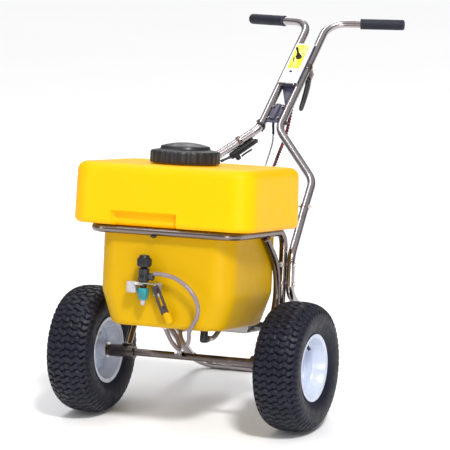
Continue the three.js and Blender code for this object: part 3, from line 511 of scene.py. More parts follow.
def hex_head(at, direction, across, height, stud=0.0):
    """A hex bolt head on a washer, standing on the point. stud adds a thread end of that length."""
    corner = across / math.sqrt(3)
    seat, top = 1.4, 1.4 + height
    washer = [(0, 0), (across * 0.78, 0), (across * 0.82, 0.4), (across * 0.8, seat), (0, seat)]
    head = [(0, seat), (corner * 0.94, seat), (corner, seat + 0.7), (corner, top - 1), (corner * 0.88, top),
            (0, top + 0.2)]
    shapes = [lathe(washer, 28), lathe(head, 6)]
    if stud:
        end, thread = top + stud, across * 0.28
        shapes.append(lathe([(0, top - 1), (thread, top - 1), (thread, end - 0.6), (across * 0.22, end),
                             (0, end)], 14))
    return aim(merged(*shapes), at, direction)


def pan_screw(at, direction, radius, height):
    """A round screw head with a cross on it."""
    head = lathe([(0, 0), (radius, 0), (radius, 0.6), (radius * 0.86, height * 0.75),
                  (radius * 0.5, height), (0, height * 1.02)], 24)
    arm, low, high = radius * 0.55, height - 0.3, height + 0.12
    cross = (block((-arm, -0.45, low), (arm, 0.45, high), 0.1, 1),
             block((-0.45, -arm, low), (0.45, arm, high), 0.1, 1))
    return aim(merged(head, *cross), at, direction)


def ring_bead(at, direction, radius, seed, thickness=1.9, sides=40):
    """A weld bead round a tube: a lumpy ring."""
    rings = []
    for angle in np.linspace(0, 2 * math.pi, sides, endpoint=False):
        fat = thickness * (1 + 0.16 * math.sin(angle * 13 + seed) + 0.08 * math.sin(angle * 29 + 2 * seed))
        rings.append([])
        for turn in np.linspace(0, 2 * math.pi, 8, endpoint=False):
            r = radius + fat * math.cos(turn)
            rings[-1].append((r * math.cos(angle), r * math.sin(angle), fat * math.sin(turn)))
    return aim((np.concatenate(rings), grid_faces(sides, 8, closed=True)), at, direction)


def holed_plate(rim, hole, low, high):
    """A flat plate with one hole. Both outlines have the same number of points."""
    rings = [(x, y, z) for outline, z in ((rim, low), (rim, high), (hole, high), (hole, low))
             for x, y in outline]
    return vec(rings), grid_faces(4, len(rim), closed=True)


def open_box(low, high, wall):
    """A box open at the top with rounded upright corners and real walls."""
    middle, half = (low + high) / 2, (high - low) / 2

    def ring(inset, z, radius):
        outline = round_outline(half[0] - inset, half[1] - inset, radius, at=middle)
        return [(x, y, z) for x, y in outline]

    return lofted([ring(2, low[2], 6), ring(0.6, low[2] + 0.6, 7), ring(0, low[2] + 2, 7),
                   ring(0, high[2], 7), ring(wall, high[2], 4), ring(wall, low[2] + wall, 4)])


def band(inner, outer, low, high, rise, step, sides=40):
    """A flat ring round +Z. Its outer rims drop by step over rise."""
    return lathe([(inner, low), (outer - step, low), (outer, low + rise), (outer, high - rise),
                  (outer - step, high), (inner, high), (inner, low)], sides)


def clamp_ring(at, direction, radius):
    """A hose clip with its small screw block."""
    half = 3.0
    ring = lathe([(radius, -half), (radius + 1.1, -half), (radius + 1.3, 0), (radius + 1.1, half),
                  (radius, half), (radius, -half)], 36)
    ear = block((radius + 0.4, -3, -half + 0.6), (radius + 4.2, 3, half - 0.6), 0.8)
    return aim(merged(ring, ear), at, direction)


# ------------------------------------------------------------------ dimensions shared with the frame
TUBE, LEG_TUBE, SEAT = 11.0, 10, 0.4
DECK_HALF, DECK_FRONT, DECK_BACK, DECK_LOW, DECK_TOP = 252.0, -256.0, 112.0, 346.0, 502.0
BODY_HALF, BODY_FOOT, BODY_FRONT, BODY_BACK, BODY_LOW = 186.0, 155.0, -212.0, 110.0, 90.0
TAPER_FROM, WALL = 178.0, 5.0
TANK_MIDDLE = vec((0, -72.0))
NECK_Y, NECK_R, NECK_BORE = -99.0, 78.0, 71.0
RAIL_HALF, RAIL_FRONT, RAIL_BACK, RAIL_Z, RAIL_END = 198.0, -225.5, 102.0, 334.7, 150.0
STAND_HALF, CROSS_HALF, CROSS_Y = 221.0, 211.0, 497.0
CROSS_Z = (CROSS_Y * math.sin(LEAN) + TUBE - 166.5) / math.cos(LEAN)
BOLTS = (201.0, 250.0)
STEM, STEM_FOOT, STEM_HEAD = 28.0, (437.5, 586.5), (757.5, 877.5)
SPLICE, KNEE, GRIP_END = vec((196, 237, 388)), vec((179, 327, 459)), vec((227, 815.5, 881.5))
TRACK, BORE = 291.0, 9.8
VALVE = vec((-36, -240, 206))
STRAP_FOOT, STRAP_HEAD, STRAP_BACK = vec((25, 129)), vec((-8, 198)), -231.0
STRAP_LEAN = math.atan2(STRAP_FOOT[0] - STRAP_HEAD[0], STRAP_HEAD[1] - STRAP_FOOT[1])
SHELF_LEFT, SHELF_RIGHT, SHELF_FRONT, SHELF_LOW = -157, 99, 113.3, 61.0
PUMP_LEFT, PUMP_RIGHT, PUMP_FRONT, PUMP_TOP = -25, 91, 124.0, 144.0
PORTS, PORT_Z = (43, 13, -12), 78
HOSE, DRAIN_HOSE = 5.5, 6.5
SIDES = (("left", -1), ("right", 1))


def mirror(point, side):
    return vec((side * point[0], point[1], point[2]))


# ------------------------------------------------------------------ tank
def ray_ring(half, front, back, corner, inset, z, count):
    """A round-cornered rectangle met by evenly turned rays from the middle of the tank."""
    angles = np.linspace(0, 2 * math.pi, count, endpoint=False)
    ray = np.stack([np.cos(angles), np.sin(angles)], -1)
    radius = max(corner - inset, 3.0)
    middle = vec((0, (front + back) / 2))
    reach = vec((half - inset - radius, (back - front) / 2 - inset - radius))
    low, high = np.zeros(count), np.full(count, 900.0)
    for _ in range(34):
        t = (low + high) / 2
        q = np.abs(TANK_MIDDLE + ray * t[:, None] - middle) - reach
        outside = np.linalg.norm(np.maximum(q, 0), axis=1) + np.minimum(q.max(1), 0) - radius
        low, high = np.where(outside < 0, t, low), np.where(outside < 0, high, t)
    return np.column_stack([TANK_MIDDLE + ray * low[:, None], np.full(count, z)])


def tank_skin(offset, count):
    """Rings from the bottom up to the flat of the deck. offset shrinks them for the inside wall."""
    def body(z, inset):
        taper = max(0.0, (TAPER_FROM - z) / (TAPER_FROM - BODY_LOW)) ** 1.03
        half = BODY_HALF - taper * (BODY_HALF - BODY_FOOT)
        return ray_ring(half, BODY_FRONT + 3 * taper, BODY_BACK, 58, offset + inset, z, count)

    def deck(z, inset):
        draft = 4 * (z - DECK_LOW) / (DECK_TOP - DECK_LOW)
        return ray_ring(DECK_HALF, DECK_FRONT, DECK_BACK, 60, offset + inset + draft, z, count)

    foot, cove, edge, crown = 13.0, 6.0, 14.0, 24.0
    low, under, top = BODY_LOW + offset, DECK_LOW + offset, DECK_TOP - offset
    rings = []
    for share in (0.45, 0.85):
        ring = body(low, 0)
        ring[:, :2] = (ring[:, :2] - TANK_MIDDLE) * share * 0.9 + TANK_MIDDLE
        rings.append(ring)
    for a in np.linspace(0, math.pi / 2, 7):
        rings.append(body(low + foot * (1 - math.cos(a)), foot * (1 - math.sin(a))))
    for z in np.linspace(low + foot + 6, under - 7, 26):
        rings.append(body(z, 0))
    for a in np.linspace(0.3, math.pi / 2, 4):
        rings.append(body(under - cove * (1 - math.sin(a)), -cove * (1 - math.cos(a))))
    inner, outer = rings[-1], deck(under, edge)
    for share in (0.35, 0.7):
        ring = inner + (outer - inner) * share
        ring[:, 2] = under
        rings.append(ring)
    for a in np.linspace(0, math.pi / 2, 8):
        rings.append(deck(under + edge * (1 - math.cos(a)), edge * (1 - math.sin(a))))
    for z in np.linspace(under + edge + 3, top - crown - 4, 34):
        rings.append(deck(z, 0))
    for a in np.linspace(0, math.pi / 2, 12):
        rings.append(deck(top - crown * (1 - math.sin(a)), crown * (1 - math.cos(a))))
    for ring in rings:
        x, y, z = ring.T
        # a shallow recess moulded into the lower front edge of the deck
        across = ease((x + 127) / 6) * ease((52 - x) / 6)
        upright = ease((DECK_LOW + 37 - z) / 5) * ease((z - DECK_LOW + 30) / 10)
        ring[:, 1] = y + 17 * ease((-(y + 236)) / 14) * across * upright * (z > DECK_LOW - 5)
        # a trace of belly, as a rotomoulded wall has
        deck_belly = np.exp(-((x / 190) ** 2)) * np.exp(-(((z - 430) / 60) ** 2))
        body_belly = np.exp(-((x / 140) ** 2)) * np.exp(-(((z - 230) / 90) ** 2))
        ring[:, 1] -= 1.6 * (deck_belly + 0.8 * body_belly) * (ring[:, 1] < -150)
    return rings, top


def neck_ring(radius, z, count):
    angles = np.linspace(0, 2 * math.pi, count, endpoint=False)
    return np.column_stack([radius * np.cos(angles), NECK_Y + radius * np.sin(angles), np.full(count, z)])


def strap_at(x, y, z):
    """Across, up and out from the foot of the nozzle strap."""
    return (STRAP_FOOT[0] + x * math.cos(STRAP_LEAN) - y * math.sin(STRAP_LEAN), STRAP_BACK - z,
            STRAP_FOOT[1] + x * math.sin(STRAP_LEAN) + y * math.cos(STRAP_LEAN))


def build_tank(count=288):
    outside, top = tank_skin(0.0, count)
    root, last = neck_ring(NECK_R + 5, top, count), outside[-1]
    outside += [last + (root - last) * share for share in (0.25, 0.55, 0.85)]
    neck = [(NECK_R + 5, 0), (NECK_R + 1.6, 1), (NECK_R, 4)]
    for z in np.arange(6, 19, 4.2):
        neck += [(NECK_R - 1.6, z), (NECK_R - 0.2, z + 1.4), (NECK_R - 0.2, z + 2.4),
                 (NECK_R - 1.6, z + 3.6)]
    neck += [(NECK_R - 1.6, 20.5), (NECK_R - 2.6, 22), (NECK_BORE + 1, 22), (NECK_BORE, 21)]
    outside += [neck_ring(radius, DECK_TOP + lift, count) for radius, lift in neck]
    inside, roof = tank_skin(WALL, count)
    rim, last = neck_ring(NECK_BORE, roof, count), inside[-1]
    outside.append(rim)
    outside += [last + (rim - last) * share for share in (0.8, 0.4)]
    rings = outside + inside[::-1]
    verts = np.vstack([*rings, [(*TANK_MIDDLE, BODY_LOW), (*TANK_MIDDLE, BODY_LOW + WALL)]])
    hub = len(rings) * count
    faces = grid_faces(len(rings), count)
    faces += [(hub, i, (i + 1) % count) for i in range(count)]
    faces += [(hub + 1, hub - count + (i + 1) % count, hub - count + i) for i in range(count)]
    lug = block((-9, -20, -6), (10, 14, 15), 7, 5)
    lug = carried(lug, lambda x, y, z: vec(strap_at(x, y, -z)) + (4, SEAT, -8))
    place("tank", merged((verts, faces), lug), "tank_plastic", "tank_shell", crease=55)


def build_cap():
    def grip_ribs(angle, level, radius):
        return radius - 1.5 * (1 - ease(math.cos(angle * 30) * 1.5 + 0.5)) if 2 <= level <= 5 else radius

    profile = [(79.6, 506.2), (86.5, 505.6), (89.2, 506.4), (89.5, 509), (89.3, 530), (88.6, 534.4),
               (85.5, 537), (80, 538.2), (68, 540.2), (64.6, 541.4), (63.4, 543), (63, 547.5),
               (62.2, 548.6)]
    dome_radius, dome_from = profile[-1]
    for share in range(1, 12):
        r = dome_radius * (1 - share / 12)
        profile.append((r, dome_from + 9.6 * (1 - (r / dome_radius) ** 2)))
    profile += [(0, dome_from + 9.6), (0, 551), (50, 546), (54, 534), (79.6, 531.5), profile[0]]
    place("cap", aim(lathe(profile, 240, grip_ribs), (0, NECK_Y, 0)), "cap_plastic", "tank_cap", "cap",
          crease=40)
    lip = [(67.5, 524.8), (77.6, 524.8), (78, 525.6), (78, 529), (77.4, 529.7), (67.5, 529.7), (67, 528),
           (67, 526), (67.5, 524.8)]
    place("cap_gasket_ring", aim(lathe(lip, 96), (0, NECK_Y, 0)), "black_rubber", "cap_gasket", "cap_seal")


# ------------------------------------------------------------------ frame
def build_frame_bolts(name, side, inward):
    """The splice bolt, and the bolts, spacers and strip that hold rail and stand together."""
    at, across = mirror(SPLICE, side) - inward * 11, vec((side, 0.1, 0.0))
    bolts = [hex_head(at + across * (TUBE - SEAT), across, 8.5, 4.5, stud=2),
             hex_head(at - across * (TUBE - SEAT), -across, 8.5, 4.0, stud=4)]
    for height in BOLTS:
        def level(x, y=RAIL_BACK):
            return side * x, y, height

        bolts += [hex_head(level(STAND_HALF + TUBE - SEAT), (side, 0, 0), 9, 3.4),
                  hex_head(level(RAIL_HALF - TUBE + SEAT), (-side, 0, 0), 9, 3.4, stud=1.2),
                  hex_head(level(RAIL_HALF, RAIL_BACK - TUBE + SEAT), (side * 0.25, -1, 0.1), 8.5, 4.4),
                  tube([level(RAIL_HALF + TUBE - 3), level(STAND_HALF - TUBE + 3)], 4.2, 16)]
    strip = block((side * 186.6, RAIL_BACK - 6, BOLTS[0] - 8),
                  (side * 185.2, RAIL_BACK + 6, BOLTS[1] + 8), 0.5)
    place(f"frame_bolts_{name}_set", merged(*bolts, strip), "bolt_zinc", f"frame_bolts_{name}")


def build_frame():
    rail = [(RAIL_HALF, RAIL_FRONT, RAIL_Z), (RAIL_HALF, RAIL_BACK, RAIL_Z),
            (RAIL_HALF, RAIL_BACK, RAIL_END)]
    rail = [mirror(p, -1) for p in rail[::-1]] + rail
    place("rails", tube(split_runs(filleted(rail, [40] * 4)), TUBE, 32), "stainless_in_painted_shade", "rail_frame")
    half = [SPLICE, (STAND_HALF, RAIL_BACK, 272), (STAND_HALF, RAIL_BACK, 177),
            (CROSS_HALF, CROSS_Y, CROSS_Z)]
    stand = filleted(half + [mirror(p, -1) for p in half[::-1]], [45, 40, 60, 60, 40, 45])
    place("stand", tube(split_runs(stand), TUBE, 32), "stainless_tube", "stand_frame")
    beads, collars, plugs = [], [], []
    plug = lathe([(0, -0.4), (9, -0.4), (10.6, 0.3), (10.8, 1.4), (10.4, 2), (0, 2)], 28)
    for name, side in SIDES:
        corners = [(RAIL_HALF, -22, RAIL_Z - 8), (195, 127, 200), (189, 2, 14)]
        leg = filleted([mirror(p, side) for p in corners], [140], 24)
        place(f"axle_leg_tube_{name}", tube(split_runs(leg), LEG_TUBE, 28), "stainless_in_painted_shade",
              f"axle_leg_{name}")
        way = frames_along(leg)[0]
        beads += [ring_bead(leg[0] + way[0] * 6, way[0], LEG_TUBE + 0.4, side),
                  ring_bead(leg[-1] - way[-1] * 3, way[-1], LEG_TUBE + 0.6, side + 3)]
        corners = (SPLICE, KNEE, (STEM, *STEM_FOOT), (STEM, *STEM_HEAD), GRIP_END)
        corners = [mirror(p, side) for p in corners]
        handle = tube(split_runs(filleted(corners, [85, 60, 62])), TUBE, 32)
        place(f"handle_{name}", handle, "stainless_tube", f"handle_tube_{name}")
        inward = unit(corners[0] - corners[1])
        collars.append(tube([corners[0] + inward * d for d in (-1.5, 0, 1.5)], TUBE + 0.35, 32))
        build_frame_bolts(name, side, inward)
        plugs.append(aim(plug, (side * RAIL_HALF, RAIL_BACK, RAIL_END), (0, 0, -1)))
    place("weld_beads", merged(*beads, *collars), "weld_bead")
    place("tube_plugs", merged(*plugs), "black_plastic")
    clip_low = RAIL_Z - 15.5
    clip = block((-27, RAIL_FRONT - 6, clip_low), (-14, RAIL_FRONT + 6, RAIL_Z - 10.4), 1.2)
    screw = pan_screw((-20.5, RAIL_FRONT, clip_low), (0, 0, -1), 4, 2)
    place("rail_clip", merged(clip, screw), "black_plastic")


def build_axle():
    stations = [(x, 0, 0) for x in (-TRACK, -TRACK + 1.5, TRACK - 1.5, TRACK)]
    place("axle_bar", tube(stations, 9.5, 40), "axle_steel", "axle")
    for name, side in SIDES:
        sleeve = lathe([(BORE, 0), (16.6, 0), (17.4, 0.8), (17.4, 17), (16.6, 18), (16, 18.4), (16, 72),
                        (15, 73.6), (BORE, 74), (BORE, 0)], 56)
        pin = tube([(side * 175, 0, 15), (side * 175, 0, 21)], 2.6, 12)
        nipple = lathe([(0, 0), (3.4, 0), (3.4, 2.2), (1.7, 2.6), (1.7, 5.2), (0, 5.6)], 12)
        shape = merged(aim(sleeve, (side * 166, 0, 0), (side, 0, 0)), pin,
                       aim(nipple, (side * 204, 4, 15.2), (0, 0.25, 1)))
        place(f"sleeve_{name}", shape, "axle_steel", f"bearing_sleeve_{name}")

    def across(y, z, x):
        return x, y, z

    top, hook_end = BODY_LOW - SEAT, math.pi * 0.06
    bar = [(-24, top), (-24, 4), (-21, 4), (-21, top - 3), (13, top - 3), (13, top)]
    hook = [(-24, 8), (-24, 4), (-13, 0.0), *arc((0, 0), 13, math.pi, hook_end, 18)[1:],
            *arc((0, 0), 9.9, hook_end, math.pi, 18), (-10.4, 6), (-21, 9)]
    rest = merged(carried(slab(bar, -42, -22, 0.5), across), carried(slab(hook, -42, -22, 0.4), across),
                  hex_head((-32, -24, 52), (0, -1, 0), 7, 3))
    place("tank_rest_bar", rest, "stainless_sheet", "tank_rest")


# ------------------------------------------------------------------ wheels
BLOCK_WIDTH, BLOCK_ROWS = 26, 56


def tread_height(row, across):
    """Tread from 0 (groove) to 1 (block top): the row number goes round, across is in millimetres."""
    row = row + 0.17 * np.sin(across / BLOCK_WIDTH * 2 * math.pi)
    in_row = row - np.floor(row)
    rib = 1 - ease((np.abs(in_row - 0.5) - 0.32) / 0.10)
    column = (across + BLOCK_WIDTH / 2 * (np.floor(row) % 2)) / BLOCK_WIDTH
    in_column = column - np.floor(column)
    sipe = 1 - ease((np.abs(in_column - 0.5) - 0.43) / 0.04)
    return rib * (1 - (1 - sipe) * 0.6 * ease((63 - np.abs(across)) / 6))


def build_tyre(name, side, around=672):
    wall_top = 138
    wall = [(79, 40.5), (80.5, 43.6), (86, 46.2), (90, 48.2), (97, 52.4), (104, 56.2), (112, 58.9),
            (121, 60.5), (130, 61), (wall_top, 60.5), (145, 59), (150, 57)]
    crown = []
    for share in np.linspace(0, 1, 22)[1:]:
        x = 57 * (1 - share)
        crown.append((166.5 - 13.0 * (x / 57) ** 2.7 - 3.5 * (x / 57) ** 8, x))
    half = wall + crown
    profile = half + [(r, -x) for r, x in half[:-1][::-1]]
    radius, offset = vec(profile).T
    on_crown = np.minimum(np.arange(len(profile)), np.arange(len(profile))[::-1]) >= len(wall)
    # distance across the tread, measured over the shoulder
    arc_length = np.concatenate([[0], np.cumsum(np.hypot(np.diff(radius), np.diff(offset)))])
    arc_length = arc_length - arc_length[len(profile) // 2]
    depth = 5.2 * ease((96 - np.abs(arc_length)) / 7)
    fade = np.where(on_crown, 1, np.clip((radius - wall_top) / 10, 0, 1))
    rings = []
    for angle in np.linspace(0, 2 * math.pi, around, endpoint=False):
        drop = depth * (1 - tread_height(angle / (2 * math.pi) * BLOCK_ROWS, arc_length)) * fade
        r = radius - drop * np.where(np.abs(offset) > 52, 0.5, 1)
        x = offset * (1 - 0.5 * drop * (np.abs(offset) > 45) / np.maximum(np.abs(offset), 1))
        rings.append(np.column_stack([x + side * TRACK, r * math.sin(angle), r * math.cos(angle)]))
    shape = np.concatenate(rings), grid_faces(around, len(profile), closed=True)
    place(f"tyre_tread_{name}", shape, "tyre_rubber", f"tyre_{name}", f"{name}_wheel", TO_WHEEL, 50)


def build_rim(name, side):
    wheel = dict(body=f"{name}_wheel", home=TO_WHEEL)
    hub, out = (side * TRACK, 0, 0), (side, 0, 0)
    well = [(86.3, 50.6), (87, 49.6), (86.4, 48.8), (84, 48), (79.6, 46.8), (77.6, 43.5), (76.5, 41),
            (66, 24), (62.4, 20), (62, 18)]
    lining = [(83, 50.4), (77, 48.6), (74.6, 44.6), (73.4, 41.6), (63, 25), (59.4, 20.6), (59, 18)]
    disc = [(59, -12), (55, -9.6), (46, -9.8), (38, -12), (30, -13.6), (23, -14), (21.4, -15), (21, -18),
            (21, -46), (14, -46), (14, -5), (21, -5), (21.4, -8.2), (23, -9), (30, -9.4), (38, -8),
            (46, -5.4), (54, -4.4), (58, -1.6), (59, 2)]
    profile = well + [(r, -x) for r, x in well[::-1]] + [(r, -x) for r, x in lining] + disc + lining[::-1]
    shapes = [aim(lathe(profile + profile[:1], 120), hub, out)]
    stud = lathe([(0, -0.2), (6.4, -0.2), (6.4, 1.0), (5.6, 1.9), (0, 2.1)], 20)
    for quarter in range(4):
        angle = math.pi / 4 + quarter * math.pi / 2
        for facing, lift in ((1, -5.0), (-1, -11.4)):
            at = (side * (TRACK + lift), 42 * math.cos(angle), 42 * math.sin(angle))
            shapes.append(aim(stud, at, (side * facing, 0, 0)))
    place(f"rim_disc_{name}", merged(*shapes), "rim_paint", f"rim_{name}", crease=42, **wheel)
    stem = lathe([(0, -5), (5.4, -5), (5.6, -1.6), (4.6, 0), (4.2, 6), (3.8, 8), (3.6, 19), (4.1, 19.4),
                  (4.1, 23), (3.4, 24), (0, 24)], 24)
    stem = aim(stem, (side * (TRACK + 25), 0, 66), (side * 0.547, 0, -0.837))
    place(f"valve_{name}", stem, "black_rubber", f"valve_stem_{name}", **wheel)
    bush = [(BORE, -48), (20.4, -48), (21, -47.4), (21, -46.3), (13.7, -46.3), (13.7, -4.7), (21, -4.7),
            (21, -3.6), (20.4, -3), (BORE, -3), (BORE, -48)]
    place(f"bush_{name}", aim(lathe(bush, 48), hub, out), "stainless_sheet", f"hub_bush_{name}", **wheel)
    cap = [(BORE, -2.7), (24.4, -2.7), (25, -2), (25, -1), (22.5, 1.4), (17, 3.6), (8, 5), (0, 5.3),
           (0, 0.3), (BORE, 0.3), (BORE, -2.7)]
    place(f"axle_end_{name}", aim(lathe(cap, 56), hub, out), "rim_paint", f"axle_cap_{name}", home=TO_WHEEL)


# ------------------------------------------------------------------ handle, panel and lever
RISE = unit(vec(STEM_HEAD) - vec(STEM_FOOT))
STEM_WAY, STEM_LIFT = (0.0, RISE[0], RISE[1]), (0.0, -RISE[1], RISE[0])
SWITCH_AT, PANEL_TOP = 268, 18.5


def on_stem(x, along, lift):
    """Across, up the stems and square to them, as a point of the level frame."""
    y, z = STEM_FOOT
    return x, y + along * RISE[0] - lift * RISE[1], z + along * RISE[1] + lift * RISE[0]


def stem_block(corner, opposite, bevel):
    return carried(block(corner, opposite, bevel), on_stem)


def build_grips():
    def ridges(angle, level, radius):
        return radius * (1 + 0.012 * math.cos(angle * 20)) if 4 < level < 92 else radius

    profile = [(11.3, 0), (14.2, 0), (15, 1), (15, 3.4), (14.3, 4.6)]
    for k in range(22):
        start = 7 + k * 4.6
        profile += [(14.2, start), (14.45, start + 1.2), (14.45, start + 2.9), (14.2, start + 3.9)]
    profile += [(14.4, 110), (14.6, 114), (14.2, 118), (12.6, 121), (9, 122.4), (4, 122.6), (2.4, 121.4),
                (0, 121.2), (0, 117.3), (11.3, 117.3), (11.3, 0)]
    nib = lathe([(0, 0), (6, 0), (6, 1.6), (4.6, 2.4), (0, 2.4)], 24)
    for name, side in SIDES:
        end = mirror(GRIP_END, side)
        inward = unit(vec((side * STEM, *STEM_HEAD)) - end)
        shape = lathe(profile, 100, ridges)
        if side > 0:
            shape = merged(shape, aim(nib, (0, 0, 120.2)))
        place(f"hand_grip_{name}", aim(shape, end + inward * 117, -inward), "grip_vinyl", f"grip_{name}")


def from_end(x, lift, along):
    """on_stem for an outline seen along the stems."""
    return on_stem(x, along, lift)


def build_panel():
    half, skirt, thick, bend, low, high = 28.5, 11.4, 2.0, 4.0, 166.0, 325.0
    left, right = (-half + bend, PANEL_TOP - bend), (half - bend, PANEL_TOP - bend)
    quarter = math.pi / 2
    section = [(-half, skirt), *arc(left, bend, math.pi, quarter, 7), *arc(right, bend, quarter, 0, 7),
               (half, skirt), (half - thick, skirt), *arc(right, bend - thick, 0, quarter, 7),
               *arc(left, bend - thick, quarter, math.pi, 7), (-half + thick, skirt)]
    channel = carried(slab(section, low, high, 0.4), from_end)
    place("panel_channel", merged(channel, stem_block((-15, 324, 12), (15, 325, 17), 0.3)), "panel_steel",
          "control_panel")
    # lower end: a folded gusset that closes the channel between the stems, an end wall, and a thin strip
    # over the right flange; all dark navy, painted shade for the shadowed opening under the channel and the
    # flange in shadow
    gusset = [(-16.6, 166), (-16.6, 160), (-12, 150), (0, 124), (9, 103), (16.6, 98), (16.6, 166)]
    shaded_folds = merged(carried(slab(gusset, -4.0, 0.0, 0.5), on_stem),
                   stem_block((-16.6, 163.4, -4), (16.6, 165.8, 16), 0.5),
                   stem_block((28.55, low + 1, 11.6), (29.3, high - 1, 18.2), 0.25))
    place("panel_gusset_painted_shade", shaded_folds, "navy_and_painted_shade")
    face = PANEL_TOP + 0.75
    label = slab(round_outline(18.6, 48, 2.5, at=(-2.4, 271)), PANEL_TOP + 0.15, face, 0.15)
    place("label", carried(label, on_stem), "label_film", "panel_label")
    # plain dashes: across, up the stems, half width, half length
    marks = ((-14.5, 262, 1.5, 5), (-11.6, 258, 1.2, 7), (-9.4, 249, 1.2, 4), (7.5, 285, 3.0, 1.3),
             (8.5, 281, 1.6, 1.2), (13, 306, 1.6, 2.4), (-13, 233, 2.4, 1.2), (-6, 233, 2.4, 1.2))
    marks = [slab(round_outline(wide, tall, 0.9, 3, at=(x, along)), PANEL_TOP + 0.76, PANEL_TOP + 0.95, 0)
             for x, along, wide, tall in marks]
    place("label_marks", carried(merged(*marks), on_stem), "label_ink")
    build_switch()
    place("panel_screw_dark", pan_screw(on_stem(-5, 210, PANEL_TOP), STEM_LIFT, 4.6, 2.6), "label_ink")
    screws = [pan_screw(on_stem(x, 178, PANEL_TOP), STEM_LIFT, 2.4, 1.6) for x in (-17, 17)]
    screws.append(pan_screw(on_stem(14, 314, PANEL_TOP + 0.7), STEM_LIFT, 1.8, 1.2))
    place("panel_screws", merged(*screws), "bolt_zinc")


def build_switch():
    seat = on_stem(0, SWITCH_AT, PANEL_TOP)
    box = stem_block((-15, 236, -16), (15, 300, 16.1), 2.5)
    bush = lathe([(4.7, -9), (6, -9), (6, 4.6), (5.4, 5), (4.7, 5), (4.7, -9)], 32)
    place("switch_body", merged(box, aim(bush, seat, STEM_LIFT)), "black_plastic", "switch_box")
    nut = lathe([(6.2, 0.8), (9.2, 0.8), (9.6, 1.2), (9.6, 3.4), (9, 3.9), (6.2, 3.9), (6.2, 0.8)], 6)
    place("switch_nut", aim(nut, seat, STEM_LIFT), "black_plastic")


def build_toggle():
    tilt = math.radians(11)
    lean = vec(on_stem(0, math.sin(tilt), math.cos(tilt))) - vec(on_stem(0, 0, 0))
    bat = lathe([(0, -2), (3.2, -2), (7.4, -1), (7.9, 0.4), (7.4, 1.8), (6.4, 2.6), (6.7, 3.6), (5.6, 5),
                 (5.8, 6.2), (4.6, 8), (4.7, 9.2), (3.6, 11.4), (3.0, 14), (3.0, 20), (3.8, 25), (3.7, 28),
                 (2.6, 30), (0, 30.6)], 32)
    place("toggle_bat", aim(bat, on_stem(0, SWITCH_AT, PANEL_TOP + 3), lean), "black_plastic",
          "toggle_lever", "toggle")


def build_cross_bracket():
    """The dark bracket lower down, bolted to both stems."""
    plate = merged(stem_block((-16.8, 22, 2), (16.8, 92, 5), 0.6),
                   stem_block((-6, 30, 4), (6, 88, 12), 0.8))
    place("cross_bracket", plate, "navy_and_painted_shade", "handle_bracket")
    place("cross_bracket_edge", stem_block((-16.8, 89, -12), (16.8, 92, 5), 0.6), "stainless_sheet")
    clip = merged(band(11.2, 13.2, -3.5, 3.5, 0.7, 0.4), block((-3, 12.4, -3), (3, 18, 3), 0.8))
    place("stem_clip", aim(clip, on_stem(-STEM, 8, 0), STEM_WAY), "black_plastic")
    bolts = [hex_head(on_stem(x * 0.62, along, 5), STEM_LIFT, 6, 2.6) for x in (-21, 21)
             for along in (37, 81)]
    bolts += [hex_head(on_stem(side * 38.6, 26, 0), (side, 0, 0), 8, 4, stud=3) for _, side in SIDES]
    place("bracket_bolts", merged(*bolts), "axle_steel")


def build_lever():
    clamp = 244.0
    clasp = band(11.2, 13.9, -9, 9, 1, 0.5, 48)
    cheeks = [stem_block((STEM + x - 2, clamp - 12, -32), (STEM + x + 2, clamp + 12, -11), 1.2)
              for x in (-7, 7)]
    pin = tube([on_stem(STEM + x, clamp - 2, -23) for x in (-10.5, 10.5)], 2.6, 18)
    clasp = aim(clasp, on_stem(STEM, clamp, 0), STEM_WAY)
    place("lever_clamp", merged(clasp, *cheeks, pin), "stainless_in_painted_shade", "lever_bracket")
    outline = [(6, -14), (8, -22), (5, -32), (-8, -44), (-28, -53), (-52, -60), (-80, -65), (-96, -66.5),
               (-102, -64), (-102, -57), (-96, -52), (-78, -48), (-54, -41), (-32, -33), (-18, -25),
               (-8, -19), (-6, -14)]
    blade = slab([(clamp + along, lift) for along, lift in outline], STEM - 5, STEM + 5, 3.0)
    place("lever_blade", carried(blade, lambda along, lift, x: on_stem(x, along, lift)), "black_plastic",
          "control_lever", "lever", crease=50)


